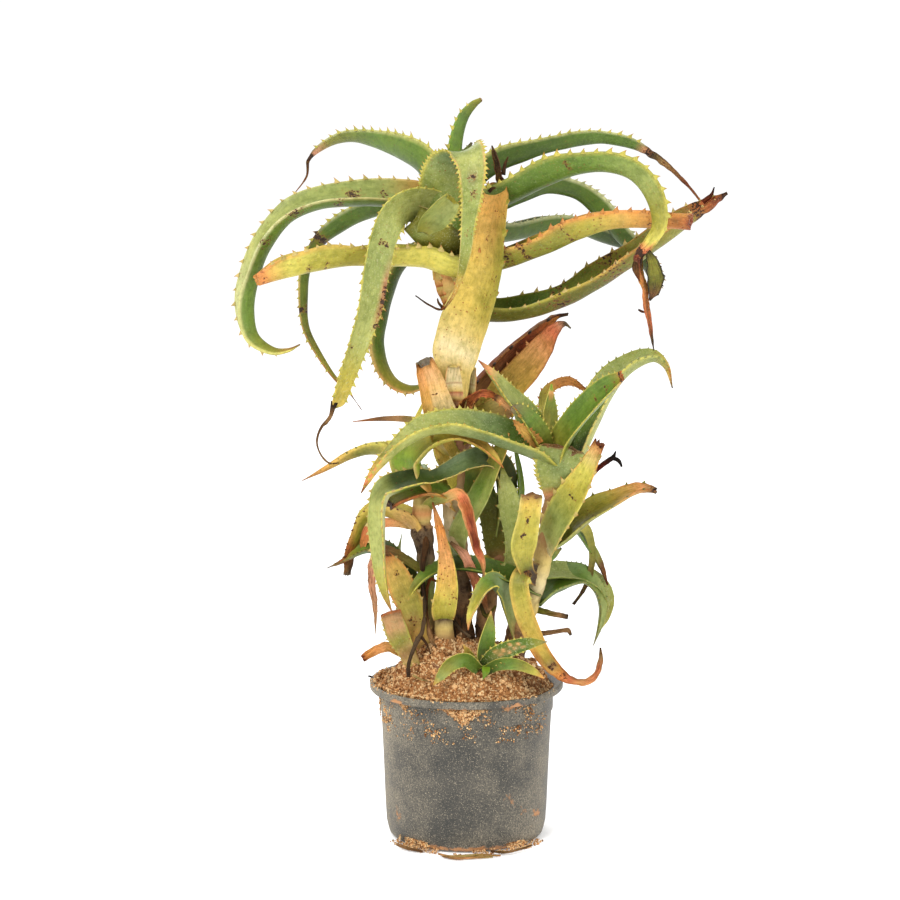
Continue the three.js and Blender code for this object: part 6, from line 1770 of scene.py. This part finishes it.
# Each pass gives the granules per square metre, their size in mm, and how deep they lie, as a share of it.
def strew(piece, passes):
    for number, one in enumerate(passes):
        addTree(piece, f"granules{number}", granuleTree, granuleSockets, {
            "Granules per square metre": float(one["density"]), "Granule size": one["size"] * mm,
            "Roundness": one.get("roundness", 1), "Sunk": one["sunk"], "Seed": one["seed"],
            "Keep bed": one.get("keepBed", True), "Finish": soilMaterial})
    return settle(piece)


soil = {
    "edgeHeight": 154, "crownHeight": 44, "edgeRadius": 86, "power": 2.5,
    "lumps": 1.6,
    "heap": (-30, -22, 30, 17),                # across, back, reach and height
    "spills": ((190, 62, 1), (268, 34, 0.7), (335, 40, 0.4)),  # over the rim: angle, reach, strength
    "spillReach": 7.5,
    "lip": (153.5, 7.8, 85, 93),               # lowest top, and its rise between these two radii
    "clods": ((0.11, 91, 6.0), (0.3, 92, 3.4)),  # scale, seed and height, on the bed inside the rim
    "clodsEnd": (82, 90),                      # mm from the middle
    "below": ((60, 2.6), (79, 18), (83.5, 124), (85.4, 134), (85.6, 152)),  # radius, height in the pot
    "sides": 150, "rings": 46, "smallestRing": 0.012,
    # patches of painted shade on the soil round the stems and under the low front-right leaves
    "damp": ((72, -38, 24, 32, 0.45), (34, 4, 36, 28, 0.6)),  # across, back, two reaches and strength
    # the bed's value: low, so the bed between the granules is a dark painted shade
    "grain": 0.13,
    "passes": (
        {"density": 15000, "size": 2.4, "roundness": 2, "seed": 3, "sunk": 0.0},
        {"density": 85000, "size": 1.6, "seed": 5, "sunk": -0.2},
        {"density": 125000, "size": 1.05, "seed": 8, "sunk": -0.6}),
}


def soilHeight(x, y):
    radius, angle = np.hypot(x, y), np.arctan2(y, x)
    lumps = np.sin(3 * angle + radius / 9) + np.sin(7 * angle - radius / 6)
    share = np.minimum(radius, soil["edgeRadius"]) / soil["edgeRadius"]
    dome = soil["crownHeight"] * (1 - share ** soil["power"])
    atX, atY, reach, high = soil["heap"]
    heap = high * np.exp(-((x - atX) ** 2 + (y - atY) ** 2) / reach**2)
    return soil["edgeHeight"] + dome + heap + soil["lumps"] * lumps


# The soil bed: a lumpy dome that is closed below, with its granules on top.
def makeSoil():
    angle = np.linspace(0, 2 * np.pi, soil["sides"], endpoint=False)
    spill = sum(strength * bumpAt(np.degrees(angle), at, wide) for at, wide, strength in soil["spills"])
    reach = soil["edgeRadius"] + soil["spillReach"] * np.clip(spill, 0, 1)
    lowest, rise, riseFrom, riseTo = soil["lip"]
    rings = [np.stack([r * np.cos(angle), r * np.sin(angle), np.full(len(angle), float(h))], axis=1)
             for r, h in soil["below"]]
    for share in np.linspace(1, soil["smallestRing"], soil["rings"]):
        radius = reach * share
        x, y = radius * np.cos(angle), radius * np.sin(angle)
        z = np.maximum(soilHeight(x, y), lowest + rise * smoothStep(riseFrom, riseTo, radius))
        flat = np.stack([x, y, z], axis=1)
        inner = 1 - smoothStep(*soil["clodsEnd"], radius)
        clods = sum(waver(flat, scale, seed) * high for scale, seed, high in soil["clods"])
        rings.append(np.stack([x, y, z + clods * inner - inner], axis=1))
    rings = np.array(rings)
    x, y = rings[..., 0], rings[..., 1]
    # painted shade round the stems and under the low front-right leaves
    damp = np.zeros(x.shape)
    for atX, atY, wide, deep, strength in soil["damp"]:
        damp = np.maximum(damp, humpAt(x, y, atX, atY, wide, deep) * strength)
    bed = np.ones(x.shape)
    bed[:len(soil["below"])] = 0
    values = {"grain": np.full(x.shape, soil["grain"]), "bed": bed, "damp": np.clip(damp, 0, 0.9)}
    piece = newObject("soilBed", meshOfRings("soilBed", rings, values, np.arange(len(rings)) * 2.0))
    return strew(piece, soil["passes"])


soilPiece = makeSoil()
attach(soilPiece, "root")
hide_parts("soil")
print("soil made:", len(soilPiece.data.polygons))


# Where loose soil clings: angles round the pot, rows of [radius, up], how dense, and how patchy. A wedge
# narrows to a point at its last row.
rimRows = ((88, 156), (91, 158.2), (94, 160), (96.4, 160.2), (98, 158.4))
clingingSoil = (
    {"around": (120, 262), "rows": rimRows, "dense": 0.35, "gaps": 0.0},
    {"around": (262, 345), "rows": rimRows, "dense": 0.2, "gaps": 0.05},
    {"around": (188, 340), "rows": ((88.3, 150), (88.4, 143), (88.4, 136), (88.2, 131)), "dense": 0.3,
     "gaps": 0.0},
    {"around": (190, 340), "rows": ((87.2, 130), (86.8, 122), (86.2, 114)), "dense": 0.3, "gaps": 0.0},
    {"around": (184, 214), "rows": ((88.4, 151), (88.6, 142), (88.2, 132), (87, 122)), "dense": 0.9,
     "gaps": -0.05},
    {"around": (252, 284), "rows": ((89, 153), (91.5, 150), (91.5, 145), (90.2, 140), (88.8, 134)),
     "dense": 3, "gaps": -1, "wedge": True},
    {"around": (220, 233), "rows": ((89, 153), (90.5, 150), (89.8, 146), (88.6, 142)), "dense": 2,
     "gaps": -1, "wedge": True},
    {"around": (204, 338), "rows": ((87, 1.2), (83, 2), (79.5, 3), (77.5, 4)), "dense": 1.0, "gaps": -0.02},
    {"around": (212, 244), "rows": ((87.5, 1.2), (84.5, 4), (81.5, 7.5), (79, 10), (78, 8)), "dense": 2.4,
     "gaps": -0.1},
    {"around": (290, 330), "rows": ((87.5, 1.2), (84.5, 3.5), (81.5, 6), (79, 8), (78, 6.5)), "dense": 2.0,
     "gaps": -0.05},
)
clingingPasses = (
    {"density": 120000, "size": 1.15, "seed": 13, "sunk": 0.1},
    {"density": 420000, "size": 0.72, "seed": 15, "sunk": 0.0, "keepBed": False},
)


# One patch's grid of points, and how densely granules lie at each of them.
def clingingPatch(patch, seed):
    low, high = patch["around"]
    steps = int((high - low) * 1.2)
    turn = np.radians(np.linspace(low, high, steps))
    rows = np.array(patch["rows"], float)
    fine = np.linspace(0, len(rows) - 1, len(rows) * 3)
    radius, up = (np.interp(fine, np.arange(len(rows)), rows[:, column]) for column in (0, 1))
    grid = np.stack([np.outer(radius, np.cos(turn)), np.outer(radius, np.sin(turn)),
                     np.outer(up, np.ones(steps))], axis=-1)
    share = np.abs(np.linspace(-1, 1, steps))[None, :]
    if patch.get("wedge"):
        amount = patch["dense"] * (share < 1.02 - np.linspace(0, 1, len(fine))[:, None])
    else:
        patches = waver(grid.reshape(-1, 3), 0.07, seed).reshape(grid.shape[:2])
        amount = patch["dense"] * smoothStep(patch["gaps"] - 0.12, patch["gaps"] + 0.12, patches)
        amount = amount * (1 - smoothStep(0.8, 1.0, share))
    return grid, amount


def makeClingingSoil():
    points, faces, bed = [], [], []
    for number, patch in enumerate(clingingSoil):
        grid, amount = clingingPatch(patch, number + 30)
        start = sum(len(part) for part in points)
        index = np.arange(amount.size).reshape(amount.shape) + start
        quads = np.stack([index[:-1, :-1], index[:-1, 1:], index[1:, 1:], index[1:, :-1]], axis=-1)
        faces += quads.reshape(-1, 4).tolist()
        points.append(grid.reshape(-1, 3))
        bed.append(amount.ravel())
    mesh = bpy.data.meshes.new("clingingSoil")
    mesh.from_pydata((np.vstack(points) * mm).tolist(), [], faces)
    bed = np.maximum(np.concatenate(bed), 0.002)
    setAttribute(mesh, "bed", bed[:, None])
    setAttribute(mesh, "damp", np.zeros((len(bed), 1)))
    return strew(newObject("looseSoil", mesh), clingingPasses)


loosePiece = makeClingingSoil()
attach(loosePiece, "root")
print("loose soil made:", len(loosePiece.data.polygons))


# Angles on the pot are in degrees, counted from its right side over its back, and the front is at 270.
pot = {
    "height": 160, "sides": 220,
    "outside": ((30, 0), (58, 0), (70, 0.2), (74, 0.8), (76.5, 2), (78.3, 4.2), (79.4, 8), (81, 15),
                (82, 30), (83, 52), (84, 75), (85, 98), (86, 118), (86.4, 126), (86.5, 129.2),
                (87.2, 130.6), (87.9, 131.6), (88, 134), (88, 142), (88, 150), (88.4, 151.6),
                (89.6, 152.4), (92, 152.3),
                (95, 152.1), (97, 152.5), (97.9, 153.6), (98, 155.5), (98, 157.6), (97.6, 159.2),
                (96.6, 159.9), (95.4, 160), (93.4, 159.4), (90.5, 157.4), (88, 155.4)),
    "inside": ((86, 153.6), (86, 146), (86, 134), (84.6, 128), (84.2, 124), (82.6, 70), (79.2, 16),
               (74, 4.2), (71, 2.1), (30, 2)),
    "rimFrom": (148, 156),              # heights where the wall turns into the rim
    "pinch": (312, 0.11, 3.2),          # angle, reach in radians, mm inwards
    "sag": (318, 0.2, 1.3),             # the same, mm downwards
    "holeRadius": 6, "holeRing": 50, "holes": 6,
    "dust": 0.5,
    "topDust": (118, 152, 0.4),         # from and to these heights, strength
    "footDust": (2, 26, 0.3),
    # painted rim light: more pale film near the pot's left and right edges
    "paintedRimLight": ((192, 24, 0.95), (334, 20, 0.4)),       # angle, reach, strength
    # painted shade: less pale film on the middle of the front wall
    "paintedFrontShade": (264, 20, 0.34),
    "wiped": (226, 34, 8, 16, 0.25),                     # angle, height, two reaches, strength
    "mud": ((317, 40, 7, 11, 1), (303, 46, 5, 8, 1), (296, 62, 4, 8, 0.8), (330, 34, 6, 12, 0.7),
            (213, 28, 5, 7, 0.8), (262, 150, 14, 4, 1), (300, 152, 10, 5, 1), (225, 153, 6, 4, 1),
            (268, 4, 60, 4, 0.9)),
}


# The pot's rings. The lathe starts and ends at radius 30, so both flat caps of the base are closed there.
def potRings():
    angle = np.linspace(0, 2 * np.pi, pot["sides"], endpoint=False)
    pinchAt, pinchReach, inwards = pot["pinch"]
    sagAt, sagReach, downwards = pot["sag"]
    rings = []
    for radius, up in np.array(pot["outside"] + pot["inside"], float):
        share = up / pot["height"]
        wave = 0.5 * np.sin(2 * angle + 0.6) * up / pot["height"]
        wave = wave + 0.35 * np.sin(5 * angle + 1.1) * share**2
        atRim = smoothStep(*pot["rimFrom"], up)
        pinch = -inwards * bumpAt(angle, math.radians(pinchAt), pinchReach) * atRim
        sag = -downwards * bumpAt(angle, math.radians(sagAt), sagReach) * atRim
        local = radius + (wave + pinch) * (1 if radius > 70 else 0)
        rings.append(np.stack([local * np.cos(angle), local * np.sin(angle),
                               up + sag + 0.25 * np.sin(3 * angle) * atRim - 0.25 * atRim], axis=1))
    return np.array(rings)


# Dust and mud on the pot; the dust value also holds painted rim light at its left and right edges and
# painted shade at its front middle.
def potGrimeAndPaintedLight(around, z):
    topFrom, topTo, topDust = pot["topDust"]
    footFrom, footTo, footDust = pot["footDust"]
    dust = pot["dust"] + topDust * smoothStep(topFrom, topTo, z)
    dust = dust + footDust * (1 - smoothStep(footFrom, footTo, z))
    for at, wide, strength in pot["paintedRimLight"]:
        dust = dust + strength * bumpAt(around, at, wide)
    # painted shade on the middle of the front wall
    at, wide, strength = pot["paintedFrontShade"]
    dust = dust - strength * bumpAt(around, at, wide) * (1 - smoothStep(90, 130, z)) * smoothStep(6, 24, z)
    *patch, strength = pot["wiped"]
    dust = dust - strength * humpAt(around, z, *patch)
    mud = sum(strength * humpAt(around, z, *patch) for *patch, strength in pot["mud"])
    return {"dust": np.clip(dust, 0.1, 1.6), "mud": np.clip(mud, 0, 1)}


# The drain holes' drills, joined into one.
def makeDrills():
    drills = []
    for hole in range(pot["holes"]):
        turn = hole / pot["holes"] * 2 * math.pi
        mesh = bpy.data.meshes.new(f"drill{hole}")
        made = bmesh.new()
        bmesh.ops.create_cone(made, cap_ends=True, segments=28, radius1=pot["holeRadius"] * mm,
                              radius2=pot["holeRadius"] * mm, depth=0.02)
        bmesh.ops.translate(made, verts=made.verts, vec=(pot["holeRing"] * mm * math.cos(turn),
                                                         pot["holeRing"] * mm * math.sin(turn), 0))
        made.to_mesh(mesh)
        made.free()
        drills.append(newObject(f"drill{hole}", mesh))
    return joinPieces("drills", drills)


def makePot():
    rings = potRings()
    x, y, z = rings[..., 0], rings[..., 1], rings[..., 2]
    values = potGrimeAndPaintedLight(np.degrees(np.arctan2(y, x)) % 360, z)
    push = (waver(rings.reshape(-1, 3), 0.02, 77) * 0.5).reshape(x.shape)
    rings = rings + push[..., None] * unit(rings * [1, 1, 0] + 1e-6)
    piece = newObject("potShell", meshOfRings("potShell", rings, values, np.arange(len(rings)) * 2.0))
    piece.data.materials.append(potMaterial)
    drill = makeDrills()
    cut = piece.modifiers.new("drainHoles", "BOOLEAN")
    cut.object = drill
    cut.operation = "DIFFERENCE"
    cut.solver = "EXACT"
    settle(piece)
    bpy.data.objects.remove(drill)
    return piece


potPiece = makePot()
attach(potPiece, "root")
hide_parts("pot")
print("pot made")


stage = {"floorReach": 65, "floorColour": (0.93, 0.93, 0.93, 1), "floorRoughness": 0.9, "floorGlow": 0.12,
         "white": (1, 1, 1, 1), "worldStrength": 1.0}
reach = stage["floorReach"]
floorMesh = bpy.data.meshes.new("floor")
floorMesh.from_pydata([(-reach, -reach, 0), (reach, -reach, 0), (reach, reach, 0), (-reach, reach, 0)],
                      [], [(0, 1, 2, 3)])
floor = newObject("floor", floorMesh)
floorMaterial, _, floorShader = newMaterial("paleFloor")
floorShader.inputs["Base Color"].default_value = stage["floorColour"]
floorShader.inputs["Roughness"].default_value = stage["floorRoughness"]
floorShader.inputs["Emission Color"].default_value = stage["white"]
floorShader.inputs["Emission Strength"].default_value = stage["floorGlow"]
floorShader.inputs["Specular IOR Level"].default_value = 0.0
floor.data.materials.append(floorMaterial)

lights = {
    "keyLight": {"place": (-1.5, -2.6, 2.7), "size": 1.3, "power": 105},
    "fillLight": {"place": (2.4, -1.8, 1.3), "size": 1.8, "power": 34},
    "backLight": {"place": (-0.9, 2.2, 2.2), "size": 1.6, "power": 40},
}
lit = Vector((0, 0, 0.4))  # the point that the lights are aimed at
for name, light in lights.items():
    lamp = bpy.data.lights.new(name, "AREA")
    lamp.size = light["size"]
    lamp.energy = light["power"]
    shade = newObject(name, lamp)
    shade.location = light["place"]
    shade.rotation_euler = (lit - Vector(light["place"])).to_track_quat("-Z", "Y").to_euler()

world = bpy.data.worlds.new("studio")
bpy.context.scene.world = world
world.use_nodes = True
world.node_tree.nodes["Background"].inputs["Color"].default_value = stage["white"]
world.node_tree.nodes["Background"].inputs["Strength"].default_value = stage["worldStrength"]
bpy.context.scene.view_settings.view_transform = "Standard"
print("stage and light made")
